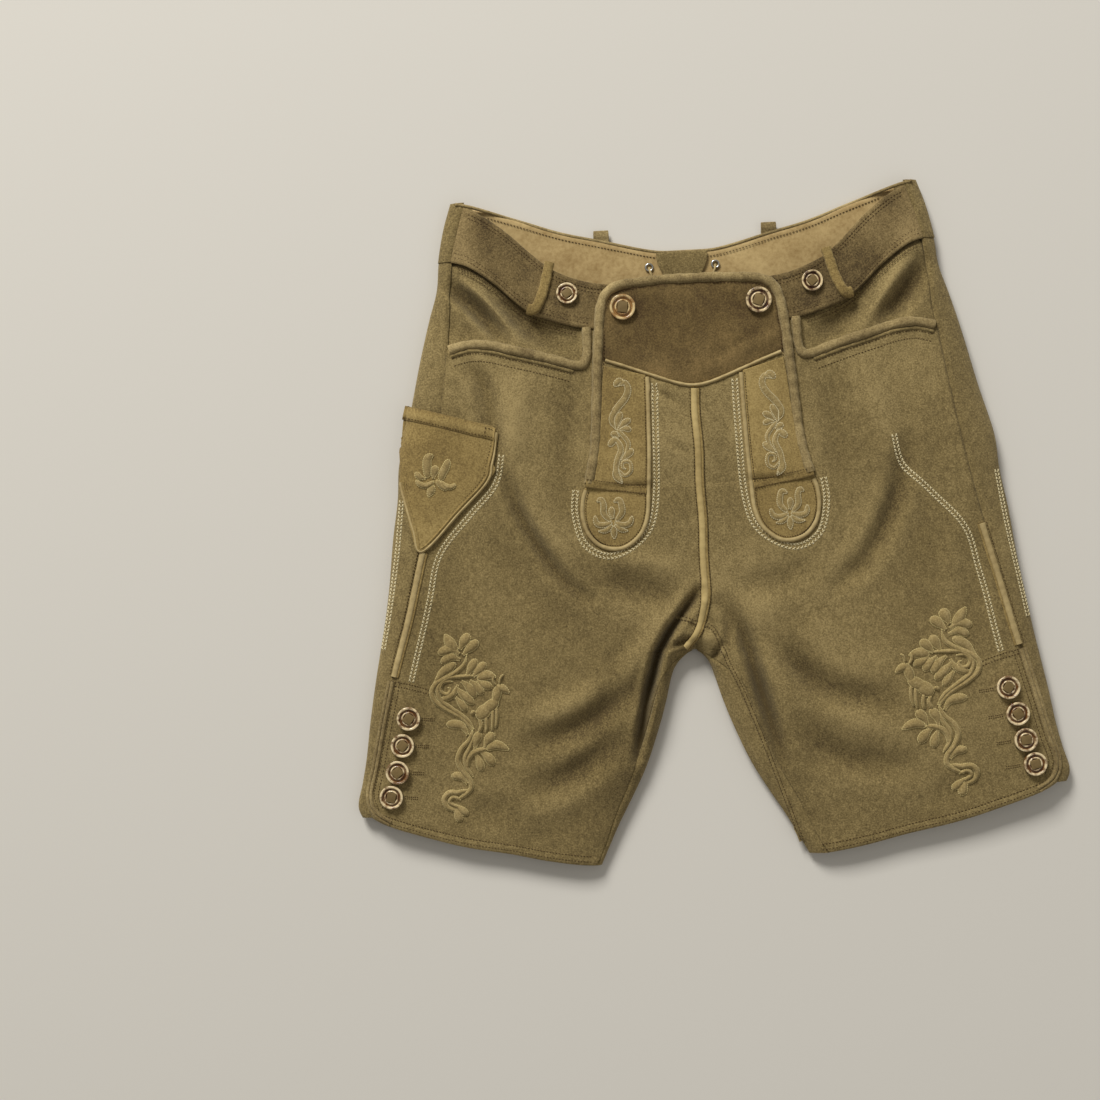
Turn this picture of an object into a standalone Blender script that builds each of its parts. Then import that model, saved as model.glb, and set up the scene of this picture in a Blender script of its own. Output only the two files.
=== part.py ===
"""Knee-length leather breeches (lederhosen) with a drop front, laid flat on their back.

X runs across the garment (the wearer's right side is at -X), Y runs from the hems up to the
waistband and Z is up from the surface that the garment lies on. Tables and sizes are in
millimetres and every object is written in metres.
"""
import math

import bpy
from mathutils import Vector

MM = 0.001

# ---------------------------------------------------------------- driving sizes, mm
LEATHER = 2.0            # wall of the body panels
BAND_WALL = 2.6          # waistband, leather and facing turned in
TRIM_WALL = 1.3          # strips, tongues and the knife pocket
FACING_WALL = 1.2        # smooth facing inside the back waistband
GAP = 0.3                # between pieces that touch
SEAM_ROOM = 1.0          # along curved seams, whose two edges have different corners
CROTCH_Y = -44.0         # top of the notch between the legs
FOLD_REACH = 38.0        # how far in from a side fold the cloth still rises
NOTCH_REACH = 34.0       # the same from the inside of a leg
EDGE_SHARE = 0.45        # height of a fold's outermost line, as a share of the crown
FLOOR_ROUND = 8.0        # how far in from a fold the cloth meets the surface
FLAP_FOOT_Y = 106.0      # where the flap's slits end
FLAP_LIFT = 1.0          # the flap's underside over the body
FLAP_TOP = FLAP_LIFT + LEATHER
BAND_LIFT = 0.6          # the waistband's face over the body's
KNIFE_LIFT = 1.2         # the knife pocket's underside over the body
RIM_WIDTH = 8.5          # the flap's rolled rim
RIM_INSET = RIM_WIDTH / 2 + GAP
LEG_SWAY = -15.0         # how far the notch between the legs is pushed sideways
HALF_WIDTH = 322.0
MIDDLE_Y = 67.25         # table height at the middle of the garment's length, where Y is 0

# Half outlines, one row (y, distance from the centre line) for each height.
OUTER_EDGE = (
    (-186, 316), (-171, 322), (-150, 317), (-128, 312), (-92, 306), (-21, 292), (24, 284),
    (69, 278), (104, 272), (136, 269), (180, 257), (229, 245), (265, 235), (291, 227),
    (316, 224), (345, 218), (370, 210),
)
SIDE_SEAM = (
    (-186, 309), (-161, 312), (-137, 305), (-106, 297), (-53, 283), (5, 268), (58, 254),
    (120, 240), (183, 229), (237, 221), (313, 214), (345, 206), (370, 198),
)
INNER_EDGE = (
    (-236, 95), (-220, 87), (-197, 75), (-173, 61), (-147, 47), (-112, 33), (-88, 25),
    (-70, 20), (-57, 15), (-48, 7), (CROTCH_Y, 0),
)
INSEAM = (
    (-236, 100), (-217, 90), (-188, 78), (-158, 63), (-123, 49), (-87, 37), (-68, 29),
    (-56, 20), (-49, 11), (CROTCH_Y, 2),
)
# Ends of the panels, one row (distance from the centre line, y).
HEM = (
    (80, -235), (105, -234), (143, -228), (178, -220), (223, -211), (267, -198),
    (298, -187), (312, -179), (322, -171),
)
FRONT_BAND_SEAM = (
    (0, 240), (91, 248), (131, 259), (150, 270), (175, 293), (197, 309), (214, 315), (226, 316),
)
FRONT_BAND_TOP = (
    (0, 283), (82, 289), (119, 302), (138, 317), (162, 340), (186, 358), (212, 370),
)
BACK_BAND_SEAM = (
    (0, 270), (28, 270), (77, 281), (113, 290), (150, 302), (190, 311), (226, 316),
)
BACK_BAND_TOP = (
    (0, 317), (28, 318), (77, 330), (113, 339), (150, 352), (190, 365), (212, 370),
)
# Height of the laid garment along its length: (y, top of the front).
CROWN = (
    (-240, 14), (-180, 16), (-100, 19), (0, 21), (150, 22), (260, 20), (320, 18), (372, 15),
)
# Main folds as troughs: start x, start y, end x, end y, depth, half width.
FOLDS = (
    (-208, 288, -172, 250, 2.6, 11),
    (-158, 262, -118, 236, 2.4, 11),
    (-166, 128, -128, 34, 2.6, 14),
    (-40, -22, -66, -108, 3.0, 10),
    (36, -30, 54, -100, 2.4, 11),
    (206, 284, 170, 250, 2.4, 11),
    (168, 130, 132, 40, 2.2, 14),
)

# Trim paths for the +X half, one row (x, y) for each bend.
FLAP_RIM = (
    (99, 110), (92, 140), (89, 175), (86, 215), (83, 248), (80, 268), (74, 280), (62, 286),
    (40, 288), (20, 289), (0, 289),
)
YOKE_SEAM = ((0, 193), (17, 196), (44, 206), (62, 213), (82, 220))
YOKE_TOP = ((0, 284.2), (60, 281.5), (68, 279), (72, 275), (75, 266), (78, 255))
STRIP_PIPING = (
    (42, 202), (43, 165), (44, 135), (46, 104), (48, 80), (54, 64), (66, 53), (78, 50),
    (92, 54), (102, 65), (106, 80), (105, 95), (102, 104),
)
POCKET_WELT = (
    (216, 234), (190, 238), (163, 235), (138, 226), (116, 214), (106, 212), (102, 222), (99, 240),
)
SIDE_STRIP = ((251, 56), (260, 22), (269, -12), (281, -54))
CENTRE_STRIP = ((0, 189), (0, 120), (0, 104), (0, 78), (0, 20), (0, -36))
FRONT_LOOP = ((124, 309), (130, 290), (138, 268))
KNIFE_OUTER = ((261, 188), (266, 160), (267, 130), (268, 112), (257, 63))
KNIFE_INNER = ((179, 166), (181, 150), (185, 133), (189, 118), (249, 58.5))
TONGUE_OUTER = ((102, 103), (103, 88), (101, 74), (95, 63), (85, 56), (79, 54))
TONGUE_INNER = ((49.5, 103), (51, 88), (53, 74), (59, 63), (69, 56), (76, 54))

# Buttons: name, x, y, radius. The leg rows are repeated on both legs.
FLAP_BUTTON = (61, 266, 11.5)
BAND_BUTTON = (110, 281, 9.5)
LEG_BUTTONS = ((269, -92, 10.5), (276, -116, 10.5), (282, -140, 10.5), (289, -162, 10.5))

# Colours, linear RGB, with roughness and metallic.
SUEDE = (0.21, 0.15, 0.062, 0.92, 0.0)
YOKE_SUEDE = (0.12, 0.078, 0.03, 0.9, 0.0)
TAN_TRIM = (0.33, 0.235, 0.105, 0.8, 0.0)
LINING = (0.42, 0.31, 0.145, 0.7, 0.0)
HORN = (0.45, 0.33, 0.18, 0.3, 0.0)
STEEL = (0.55, 0.55, 0.53, 0.3, 1.0)


# ---------------------------------------------------------------- curves and surfaces
def along(rows, key):
    """Smooth value of a two-column table at key, which is held within the table's ends."""
    key = min(max(key, rows[0][0]), rows[-1][0])
    last = len(rows) - 2
    i = 0
    while i < last and key > rows[i + 1][0]:
        i += 1
    (k0, v0), (k1, v1) = rows[i], rows[i + 1]
    before = rows[max(i - 1, 0)]
    after = rows[min(i + 2, last + 1)]
    slope0 = (v1 - before[1]) / (k1 - before[0])
    slope1 = (after[1] - v0) / (after[0] - k0)
    step = k1 - k0
    t = (key - k0) / step
    return (
        v0 * (1 + 2 * t) * (1 - t) ** 2
        + slope0 * step * t * (1 - t) ** 2
        + v1 * t * t * (3 - 2 * t)
        + slope1 * step * t * t * (t - 1)
    )


def ease(low, high, value):
    t = min(max((value - low) / (high - low), 0.0), 1.0)
    return t * t * (3 - 2 * t)


def rise(share):
    """A quarter round: 0 at a fold's outermost line, 1 where the cloth runs level."""
    t = min(max(share, 0.0), 1.0)
    return math.sqrt(1 - (1 - t) ** 2)


def distance_to(path, x, y):
    nearest = math.inf
    for (x0, y0), (x1, y1) in zip(path, path[1:]):
        dx, dy = x1 - x0, y1 - y0
        t = ((x - x0) * dx + (y - y0) * dy) / (dx * dx + dy * dy)
        t = min(max(t, 0.0), 1.0)
        nearest = min(nearest, math.hypot(x - x0 - t * dx, y - y0 - t * dy))
    return nearest


NOTCH_PATH = [(x, y) for y, x in INNER_EDGE] + [(-x, y) for y, x in reversed(INNER_EDGE[:-1])]


def fold_depth(x, y):
    total = 0.0
    for x0, y0, x1, y1, depth, reach in FOLDS:
        near = distance_to(((x0, y0), (x1, y1)), x, y) / reach
        total += depth * math.exp(-near * near)
    return total


def height(x, y):
    """Top of the laid body over the point (x, y)."""
    top = along(CROWN, y)
    edge = EDGE_SHARE * top
    outer = rise((along(OUTER_EDGE, y) - abs(x)) / FOLD_REACH)
    inner = 1.0
    if y < NOTCH_REACH + CROTCH_Y + 10:
        inner = rise(distance_to(NOTCH_PATH, x, y) / NOTCH_REACH)
    level = outer * inner
    return edge + (top - edge) * level - fold_depth(x, y) * level


def placed(point):
    """The place of a table point: the notch between the legs pushed sideways, Y from the middle."""
    x, y, z = point
    push = LEG_SWAY * (1 - ease(-70, 10, y)) * (1 - abs(x) / HALF_WIDTH)
    return (x + push, y - MIDDLE_Y, z)


def on_body(x, y, lift):
    """The point of the body's top over (x, y), moved out by lift along its normal."""
    h = 0.5
    slope_x = (height(x + h, y) - height(x - h, y)) / (2 * h)
    slope_y = (height(x, y + h) - height(x, y - h)) / (2 * h)
    normal = Vector((-slope_x, -slope_y, 1)).normalized()
    return Vector((x, y, height(x, y))) + normal * lift


def read_path(points, count):
    """count points, evenly spaced, on a smooth curve through the given ones."""
    points = [Vector(p) for p in points]
    fine = []
    for i in range(len(points) - 1):
        p0 = points[max(i - 1, 0)]
        p1, p2 = points[i], points[i + 1]
        p3 = points[min(i + 2, len(points) - 1)]
        for j in range(12):
            t = j / 12
            fine.append(
                0.5 * (2 * p1 + (p2 - p0) * t + (2 * p0 - 5 * p1 + 4 * p2 - p3) * t ** 2
                       + (3 * p1 - p0 - 3 * p2 + p3) * t ** 3)
            )
    fine.append(points[-1])
    run = [0.0]
    for a, b in zip(fine, fine[1:]):
        run.append(run[-1] + (b - a).length)
    out = []
    i = 0
    for k in range(count):
        want = run[-1] * k / (count - 1)
        while i < len(run) - 2 and run[i + 1] < want:
            i += 1
        t = (want - run[i]) / max(run[i + 1] - run[i], 1e-9)
        out.append(fine[i].lerp(fine[i + 1], min(t, 1.0)))
    return out


# ---------------------------------------------------------------- objects
def cleared_collection(name):
    for obj in list(bpy.data.objects):
        bpy.data.objects.remove(obj, do_unlink=True)
    made = bpy.data.collections.new(name)
    bpy.context.scene.collection.children.link(made)
    return made


def finish_of(name, values):
    material = bpy.data.materials.new(name)
    material.use_nodes = True
    shader = material.node_tree.nodes["Principled BSDF"]
    red, green, blue, roughness, metallic = values
    shader.inputs["Base Color"].default_value = (red, green, blue, 1)
    shader.inputs["Roughness"].default_value = roughness
    shader.inputs["Metallic"].default_value = metallic
    material.diffuse_color = (red, green, blue, 1)
    return material


def add_object(name, data, finish):
    obj = bpy.data.objects.new(name, data)
    garment.objects.link(obj)
    data.materials.append(finish)
    return obj


def wall(name, rows, thickness, finish, flip=False):
    """A sheet through rows of points, given its thickness on the inner side."""
    across = len(rows[0])
    verts = [tuple(c * MM for c in placed(p)) for row in rows for p in row]
    faces = []
    for r in range(len(rows) - 1):
        for c in range(across - 1):
            a = r * across + c
            face = (a, a + 1, a + across + 1, a + across)
            faces.append(face[::-1] if flip else face)
    mesh = bpy.data.meshes.new(name)
    mesh.from_pydata(verts, [], faces)
    obj = add_object(name, mesh, finish)
    solidify = obj.modifiers.new("Thickness", "SOLIDIFY")
    solidify.thickness = thickness * MM
    solidify.offset = -1
    return obj


def patch(name, outer, inner, counts, lift, thickness, finish, side):
    """A flat piece lying on the body between two edges that are both given from top to foot."""
    rows_n, cols_n = counts
    left = read_path([(x * side, y, 0) for x, y in outer], rows_n)
    right = read_path([(x * side, y, 0) for x, y in inner], rows_n)
    rows = []
    for a, b in zip(left, right):
        row = []
        for c in range(cols_n):
            p = a.lerp(b, c / (cols_n - 1))
            row.append(on_body(p.x, p.y, lift + thickness))
        rows.append(row)
    return wall(name, rows, thickness, finish, flip=side < 0)


def ribbon(name, path, width, count, lift, thickness, finish, crown=0.4, side=1, lift_at=None):
    """A strip along a path on the body, with its middle raised a little."""
    points = read_path([(x * side, y, 0) for x, y in path], count)
    rows = []
    for i, p in enumerate(points):
        ahead = points[min(i + 1, count - 1)] - points[max(i - 1, 0)]
        across = Vector((-ahead.y, ahead.x, 0)).normalized() * width / 2
        under = lift_at(p.x, p.y) if lift_at else lift
        row = []
        for c in (1, 0, -1):
            q = p + across * c
            row.append(on_body(q.x, q.y, under + thickness + (crown if c == 0 else 0)))
        rows.append(row)
    return wall(name, rows, thickness, finish, flip=True)


def tube(name, points, radius, finish):
    curve = bpy.data.curves.new(name, "CURVE")
    curve.dimensions = "3D"
    curve.bevel_depth = radius * MM
    curve.bevel_resolution = 2
    curve.use_fill_caps = True
    spline = curve.splines.new("POLY")
    spline.points.add(len(points) - 1)
    for slot, p in zip(spline.points, points):
        x, y, z = placed(p)
        slot.co = (x * MM, y * MM, z * MM, 1)
    return add_object(name, curve, finish)


# ---------------------------------------------------------------- body panels
LEG_STEPS = (1.0, 0.88, 0.74, 0.6, 0.47, 0.35, 0.24, 0.15, 0.08, 0.03)
HIP_STEPS = (0.0, 0.05, 0.11, 0.2, 0.3, 0.41, 0.53, 0.65, 0.77, 0.89, 1.0)
ACROSS = (0.0, 0.03, 0.08, 0.14, 0.22, 0.32, 0.44, 0.56, 0.68, 0.78, 0.86, 0.92, 0.97, 1.0)
STATIONS = [-s for s in LEG_STEPS] + list(HIP_STEPS)


def station_y(x, station, top_edge):
    """Height along the garment at x, for a station from -1 at the hem to 1 at the band."""
    end = along(top_edge, x) - SEAM_ROOM if station > 0 else along(HEM, x)
    return CROTCH_Y + GAP + (end - CROTCH_Y - GAP) * abs(station)


def fixed_point(line, station, top_edge, guess):
    """Where a station meets a lengthwise line (y, x)."""
    x = guess
    for _ in range(6):
        x = along(line, station_y(x, station, top_edge))
    return x


def front_panel(name, side):
    """One front from hem to waistband and from side seam to inseam and centre front."""
    rows = []
    for station in STATIONS:
        seam = fixed_point(SIDE_SEAM, station, FRONT_BAND_SEAM, 260)
        inner = GAP / 2
        if station < 0:
            inner = fixed_point(INSEAM, station, FRONT_BAND_SEAM, 60) + SEAM_ROOM
        row = []
        for share in ACROSS:
            x = seam + (inner - seam) * share
            y = station_y(x, station, FRONT_BAND_SEAM)
            row.append(on_body(x * side, y, 0))
        rows.append(row)
    return wall(name, rows, LEATHER, suede, flip=side > 0)


def under_fold(x_edge, y, reach, share):
    """A point on the round from a fold's outermost line (share 0) down to the surface (1)."""
    angle = share * math.pi / 2
    drop = EDGE_SHARE * along(CROWN, y)
    return x_edge - reach * (1 - math.cos(angle)), drop * (1 - math.sin(angle))


def back_ring(side, station):
    """Section of a back: from the side seam over the fold, along the surface, up to the inseam."""
    ring = []
    seam = fixed_point(SIDE_SEAM, station, FRONT_BAND_SEAM, 260) + GAP
    y_side = station_y(seam, station, FRONT_BAND_SEAM)
    edge = along(OUTER_EDGE, y_side)
    for share in (0.0, 0.4, 0.75, 0.94):
        top = on_body((seam + (edge - seam) * share) * side, y_side, 0)
        ring.append((top.x, y_side, top.z))
    for share in (0.0, 0.35, 0.7, 1.0):
        x, z = under_fold(edge, y_side, FLOOR_ROUND, share)
        ring.append((x * side, y_side, z))
    start = edge - FLOOR_ROUND
    inseam = fixed_point(INSEAM, station, FRONT_BAND_SEAM, 60)
    y_in = station_y(inseam, station, FRONT_BAND_SEAM)
    inner_edge = along(INNER_EDGE, y_in) if station < 0 else 0.0
    inner_end = inner_edge + FLOOR_ROUND
    for share in (0.12, 0.28, 0.45, 0.62, 0.8, 1.0):
        x = start + (inner_end - start) * share
        ring.append((x * side, station_y(x, station, BACK_BAND_SEAM), 0.0))
    if station >= 0:
        climb = (EDGE_SHARE * along(CROWN, CROTCH_Y) - LEATHER - 2 * GAP)
        climb *= 1 - ease(0, 0.12, station)
        for share in (0.3, 0.55, 0.8, 1.0):
            x = inner_end + (GAP / 2 - inner_end) * share
            ring.append((x * side, station_y(x, station, BACK_BAND_SEAM), climb * share ** 1.5))
        return ring
    for share in (0.6, 0.0):
        x, z = under_fold(inner_edge, y_in, -FLOOR_ROUND, share)
        ring.append((x * side, y_in, z))
    for share in (0.5, 1.0):
        top = on_body((inner_edge + (inseam - inner_edge) * share) * side, y_in, 0)
        ring.append((top.x, y_in, top.z))
    return ring


def back_panel(name, side):
    rows = [back_ring(side, station) for station in STATIONS]
    return wall(name, rows, LEATHER, suede, flip=side < 0)


# ---------------------------------------------------------------- waistband
def front_band(name, side):
    rows = []
    for up in (0.0, 0.33, 0.66, 1.0):
        row = []
        for share in ACROSS:
            seam = 213 - 14 * up
            x = seam + (GAP / 2 - seam) * share
            low = along(FRONT_BAND_SEAM, x) + GAP
            y = low + (along(FRONT_BAND_TOP, x) - low) * up
            row.append(on_body(x * side, y, BAND_LIFT))
        rows.append(row)
    return wall(name, rows, BAND_WALL, suede, flip=side > 0)


def back_band_row(up):
    """A lengthwise line of the back waistband, from one side seam round to the other."""
    half = []
    seam = 213 - 14 * up
    y_side = 316 + (369 - 316) * up
    edge = along(OUTER_EDGE, y_side)
    for share in (0.0, 0.4, 0.8):
        x = seam + GAP + (edge - seam - GAP) * share
        top = on_body(x, y_side, BAND_LIFT)
        half.append((top.x, y_side, top.z))
    for share in (0.0, 0.35, 0.7, 1.0):
        x, z = under_fold(edge, y_side, FLOOR_ROUND, share)
        half.append((x, y_side, z))
    start = edge - FLOOR_ROUND
    for share in (0.14, 0.3, 0.46, 0.62, 0.78, 0.9, 1.0):
        x = start * (1 - share)
        low = along(BACK_BAND_SEAM, x) + SEAM_ROOM
        half.append((x, low + (along(BACK_BAND_TOP, x) - low) * up, 0.0))
    return half + [(-x, y, z) for x, y, z in reversed(half[:-1])]


def back_band():
    rows = [back_band_row(up) for up in (0.0, 0.5, 1.0)]
    return wall("waistband_back", rows, BAND_WALL, suede)


def band_facing():
    """The smooth facing on the inside of the back band, which shows above the front."""
    rows = []
    for up in (0.0, 0.5, 1.0):
        row = []
        for c in range(17):
            x = 190 * (1 - c / 8)
            low = along(BACK_BAND_SEAM, abs(x)) + 2
            high = along(BACK_BAND_TOP, abs(x)) - 2
            row.append((x, low + (high - low) * up, BAND_WALL + GAP + FACING_WALL))
        rows.append(row)
    return wall("waistband_facing", rows, FACING_WALL, lining, flip=True)


def back_lacing():
    """The split at centre back: a suede gusset, two eyelets and the lace through them."""
    floor = BAND_WALL + GAP + FACING_WALL + GAP
    rows = []
    for y, half in ((291, 14), (300, 19), (309, 23), (315, 23)):
        rows.append([(x - 4, y, floor + 1.2) for x in (-half, -half / 2, 0, half / 2, half)])
    wall("lacing_gusset", rows, 1.2, suede)
    for name, x in (("eyelet_right", -34), ("eyelet_left", 26)):
        bpy.ops.mesh.primitive_torus_add(
            major_radius=3.1 * MM, minor_radius=0.9 * MM, major_segments=14, minor_segments=6,
            location=Vector(placed((x, 303, floor + 0.9))) * MM,
        )
        ring = bpy.context.object
        ring.name = name
        ring.data.materials.append(steel)
        for owner in list(ring.users_collection):
            owner.objects.unlink(ring)
        garment.objects.link(ring)
    over = floor + 2.6
    lace = ((-33, 298, over), (-30, 290, over), (-22, 285.5, over), (-8, 284, over),
            (8, 286, over), (20, 291, over), (25, 298, over))
    tube("back_lace", read_path(lace, 14), 1.1, tan_trim)


# ---------------------------------------------------------------- drop front
def rim_inside(y):
    """The flap's width at a height, up to its rolled rim."""
    table = [(py, px) for px, py in FLAP_RIM[:6]]
    return along(table, y) - RIM_INSET


def flap_half(name, side):
    """Half of the flap's lower part, from its foot up to the yoke's seam."""
    rows = []
    for up in (r / 8 for r in range(9)):
        reach = rim_inside(FLAP_FOOT_Y + (215 - FLAP_FOOT_Y) * up)
        row = []
        for share in (c / 7 for c in range(8)):
            x = reach * (1 - share) + GAP / 2 * share
            seam = along(YOKE_SEAM, x) - GAP
            y = FLAP_FOOT_Y + (seam - FLAP_FOOT_Y) * up
            row.append(on_body(x * side, y, FLAP_TOP))
        rows.append(row)
    return wall(name, rows, LEATHER, suede, flip=side > 0)


def flap_yoke():
    """The plain upper part of the flap, in one piece over the centre."""
    rows = []
    for r in range(8):
        up = r / 7
        half = []
        for c in range(8):
            x = (78 - 6.5 * up) * (1 - c / 7)
            low = along(YOKE_SEAM, x)
            high = along(YOKE_TOP, x)
            half.append((x, low + (high - low) * up))
        row = half + [(-x, y) for x, y in reversed(half[:-1])]
        rows.append([on_body(x, y, FLAP_TOP) for x, y in row])
    return wall("flap_yoke", rows, LEATHER, yoke_suede, flip=True)


def flap_rim():
    """The rolled rim along the flap's sides and top, in one run."""
    half = list(FLAP_RIM)
    whole = half + [(-x, y) for x, y in reversed(half[:-1])]
    return ribbon("flap_rim", whole, RIM_WIDTH, 46, FLAP_LIFT, 3.0, suede, crown=1.0)


def yoke_piping():
    half = [(x, y) for x, y in reversed(YOKE_SEAM)]
    whole = [(min(x, 76), y if x < 80 else 217.5) for x, y in half]
    whole += [(-x, y) for x, y in reversed(whole[:-1])]
    return ribbon("yoke_piping", whole, 3.2, 18, FLAP_TOP + GAP, 1.4, tan_trim, crown=0.3)


def strip_lift(x, y):
    """Underside of what crosses the flap's foot: on the flap above it, on the body below."""
    return GAP + FLAP_TOP * ease(FLAP_FOOT_Y - 32, FLAP_FOOT_Y - 3, y)


def flap_trim(label, side):
    """The embroidered strip on a flap half, its tongue below, and the piping round both."""
    outer = ((78, 213), (81, 195), (84, 165), (88, 135), (92.5, 107))
    inner = ((45.5, 203), (46, 185), (46.5, 160), (47.5, 135), (48.5, 107))
    lift = FLAP_TOP + GAP
    patch("flap_strip_" + label, outer, inner, (10, 5), lift, TRIM_WALL, trim_suede, side)
    patch("flap_tongue_" + label, TONGUE_OUTER, TONGUE_INNER, (8, 6), GAP, TRIM_WALL,
          trim_suede, side)
    ribbon("strip_piping_" + label, STRIP_PIPING, 3.2, 28, GAP, 1.8, tan_trim, side=side,
           lift_at=strip_lift)


# ---------------------------------------------------------------- pockets, strips, loops
def knife_pocket():
    """The knife pocket on the wearer's right thigh, with its turned mouth."""
    mouth_outer = ((259, 189), (262.5, 181.5))
    mouth_inner = ((178, 167), (179, 158.5))
    bag_outer = ((263, 180.5),) + KNIFE_OUTER[1:]
    bag_inner = ((179.3, 157.8), (181, 150)) + KNIFE_INNER[2:]
    patch("knife_pocket_bag", bag_outer, bag_inner, (10, 9), KNIFE_LIFT, TRIM_WALL + 0.4,
          trim_suede, -1)
    patch("knife_pocket_mouth", mouth_outer, mouth_inner, (2, 9), KNIFE_LIFT, 2.6, suede, -1)


def button(name, x, y, radius, lift):
    """A turned button with a dished face and a raised rim, lying on the leather."""
    r = radius
    profile = ((0, 1.7), (0.42 * r, 1.7), (0.62 * r, 3.1), (0.8 * r, 3.8), (0.94 * r, 3.2),
               (r, 2.0), (0.9 * r, 0.6), (0.6 * r, 0), (0, 0))
    mesh = bpy.data.meshes.new(name)
    verts = [(px * MM, 0, pz * MM) for px, pz in profile]
    mesh.from_pydata(verts, [(i, i + 1) for i in range(len(verts) - 1)], [])
    obj = add_object(name, mesh, horn)
    turned = obj.modifiers.new("Turned", "SCREW")
    turned.steps = turned.render_steps = 14
    turned.use_merge_vertices = True
    turned.merge_threshold = 0.00001
    seat = on_body(x, y, lift)
    normal = (on_body(x, y, lift + 1) - seat).normalized()
    obj.location = Vector(placed(seat)) * MM
    obj.rotation_euler = normal.to_track_quat("Z", "Y").to_euler()
    return obj


def side_pieces(label, side):
    """The trim that both halves have."""
    ribbon("pocket_welt_" + label, POCKET_WELT, 7.0, 20, GAP, 2.0, suede, crown=0.8, side=side)
    ribbon("side_strip_" + label, SIDE_STRIP, 7.0, 16, GAP + 0.3, 1.4, tan_trim, side=side)
    ribbon("belt_loop_front_" + label, FRONT_LOOP, 9.5, 8, BAND_LIFT + 1.2, 2.0, suede,
           crown=0.6, side=side)
    x, y, radius = FLAP_BUTTON
    button("flap_button_" + label, x * side, y, radius, FLAP_TOP + 0.6)
    x, y, radius = BAND_BUTTON
    button("band_button_" + label, x * side, y, radius, BAND_LIFT + 0.7)
    for row, (x, y, radius) in enumerate(LEG_BUTTONS, 1):
        button(f"leg_button_{label}_{row}", x * side, y, radius, 1.3)


def back_loop(name, x, y):
    """The tip of a back belt loop, which shows above the band's edge."""
    rows = [[(x - 7, y + d, z), (x, y + d + 0.6, z + 0.3), (x + 7, y + d, z)]
            for d, z in ((0.6, 3.0), (3.4, 3.2), (6.0, 2.2))]
    wall(name, rows, 1.8, suede)


garment = cleared_collection("lederhosen")
suede = finish_of("suede", SUEDE)
yoke_suede = finish_of("yoke_suede", YOKE_SUEDE)
trim_suede = finish_of("trim_suede", SUEDE)
tan_trim = finish_of("tan_trim", TAN_TRIM)
lining = finish_of("lining", LINING)
horn = finish_of("horn", HORN)
steel = finish_of("steel", STEEL)

for label, side in (("right", -1), ("left", 1)):
    front_panel("front_" + label, side)
    back_panel("back_" + label, side)
    front_band("waistband_front_" + label, side)
    flap_half("flap_" + label, side)
    flap_trim(label, side)
    side_pieces(label, side)
back_band()
band_facing()
back_lacing()
back_loop("belt_loop_back_right", -76, 332)
back_loop("belt_loop_back_left", 76, 332)
flap_yoke()
flap_rim()
yoke_piping()
knife_pocket()
ribbon("centre_strip", CENTRE_STRIP, 7.5, 24, GAP, 1.4, tan_trim, lift_at=strip_lift)
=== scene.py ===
# Knee-length suede breeches with a drop front, laid flat on their back.
# Tables and sizes are in millimetres over the laid garment: x across from the centre front, y up
# from the crotch towards the waistband. Meshes are written in metres, in the frame's own place.
import math

import bmesh
import bpy
import numpy as np
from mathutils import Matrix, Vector


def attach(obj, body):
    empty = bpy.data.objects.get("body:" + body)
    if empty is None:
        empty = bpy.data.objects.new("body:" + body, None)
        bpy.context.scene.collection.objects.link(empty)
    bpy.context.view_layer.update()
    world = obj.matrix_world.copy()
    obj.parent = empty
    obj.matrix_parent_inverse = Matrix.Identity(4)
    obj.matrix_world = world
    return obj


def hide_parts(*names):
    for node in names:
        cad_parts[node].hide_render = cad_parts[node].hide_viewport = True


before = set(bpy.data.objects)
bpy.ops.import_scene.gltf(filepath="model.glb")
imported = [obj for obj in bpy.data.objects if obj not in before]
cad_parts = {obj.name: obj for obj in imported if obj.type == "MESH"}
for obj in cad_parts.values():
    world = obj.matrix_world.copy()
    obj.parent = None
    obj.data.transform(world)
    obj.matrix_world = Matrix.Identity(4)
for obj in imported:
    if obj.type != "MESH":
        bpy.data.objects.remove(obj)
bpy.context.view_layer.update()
print("frame loaded")

mm = 0.001
laid = dict(
    leather=2.0, bandWall=2.6, cutEdge=0.5, gap=0.3,
    crotchY=-44.0, foldReach=38.0, notchReach=34.0, edgeShare=0.45, floorRound=8.0,
    legSway=-15.0, halfWidth=322.0, middleY=67.25, flapTop=3.0,
)

outerEdge = (
    (-186, 316), (-171, 322), (-150, 317), (-128, 312), (-92, 306), (-21, 292), (24, 284),
    (69, 278), (104, 272), (136, 269), (180, 257), (229, 245), (265, 235), (291, 227),
    (316, 224), (345, 218), (370, 210),
)
sideSeam = (
    (-186, 309), (-161, 312), (-137, 305), (-106, 297), (-53, 283), (5, 268), (58, 254),
    (120, 240), (183, 229), (237, 221), (313, 214), (345, 206), (370, 198),
)
innerEdge = (
    (-236, 95), (-220, 87), (-197, 75), (-173, 61), (-147, 47), (-112, 33), (-88, 25),
    (-70, 20), (-57, 15), (-48, 7), (-44, 0),
)
inseam = (
    (-236, 100), (-217, 90), (-188, 78), (-158, 63), (-123, 49), (-87, 37), (-68, 29),
    (-56, 20), (-49, 11), (-44, 2),
)
hem = (
    (80, -235), (105, -234), (143, -228), (178, -220), (223, -211), (267, -198),
    (298, -187), (312, -179), (322, -171),
)
frontBandSeam = (
    (0, 240), (91, 248), (131, 259), (150, 270), (175, 293), (197, 309), (214, 315), (226, 316),
)
frontBandTop = (
    (0, 283), (82, 289), (119, 302), (138, 317), (162, 340), (186, 358), (212, 370),
)
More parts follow.
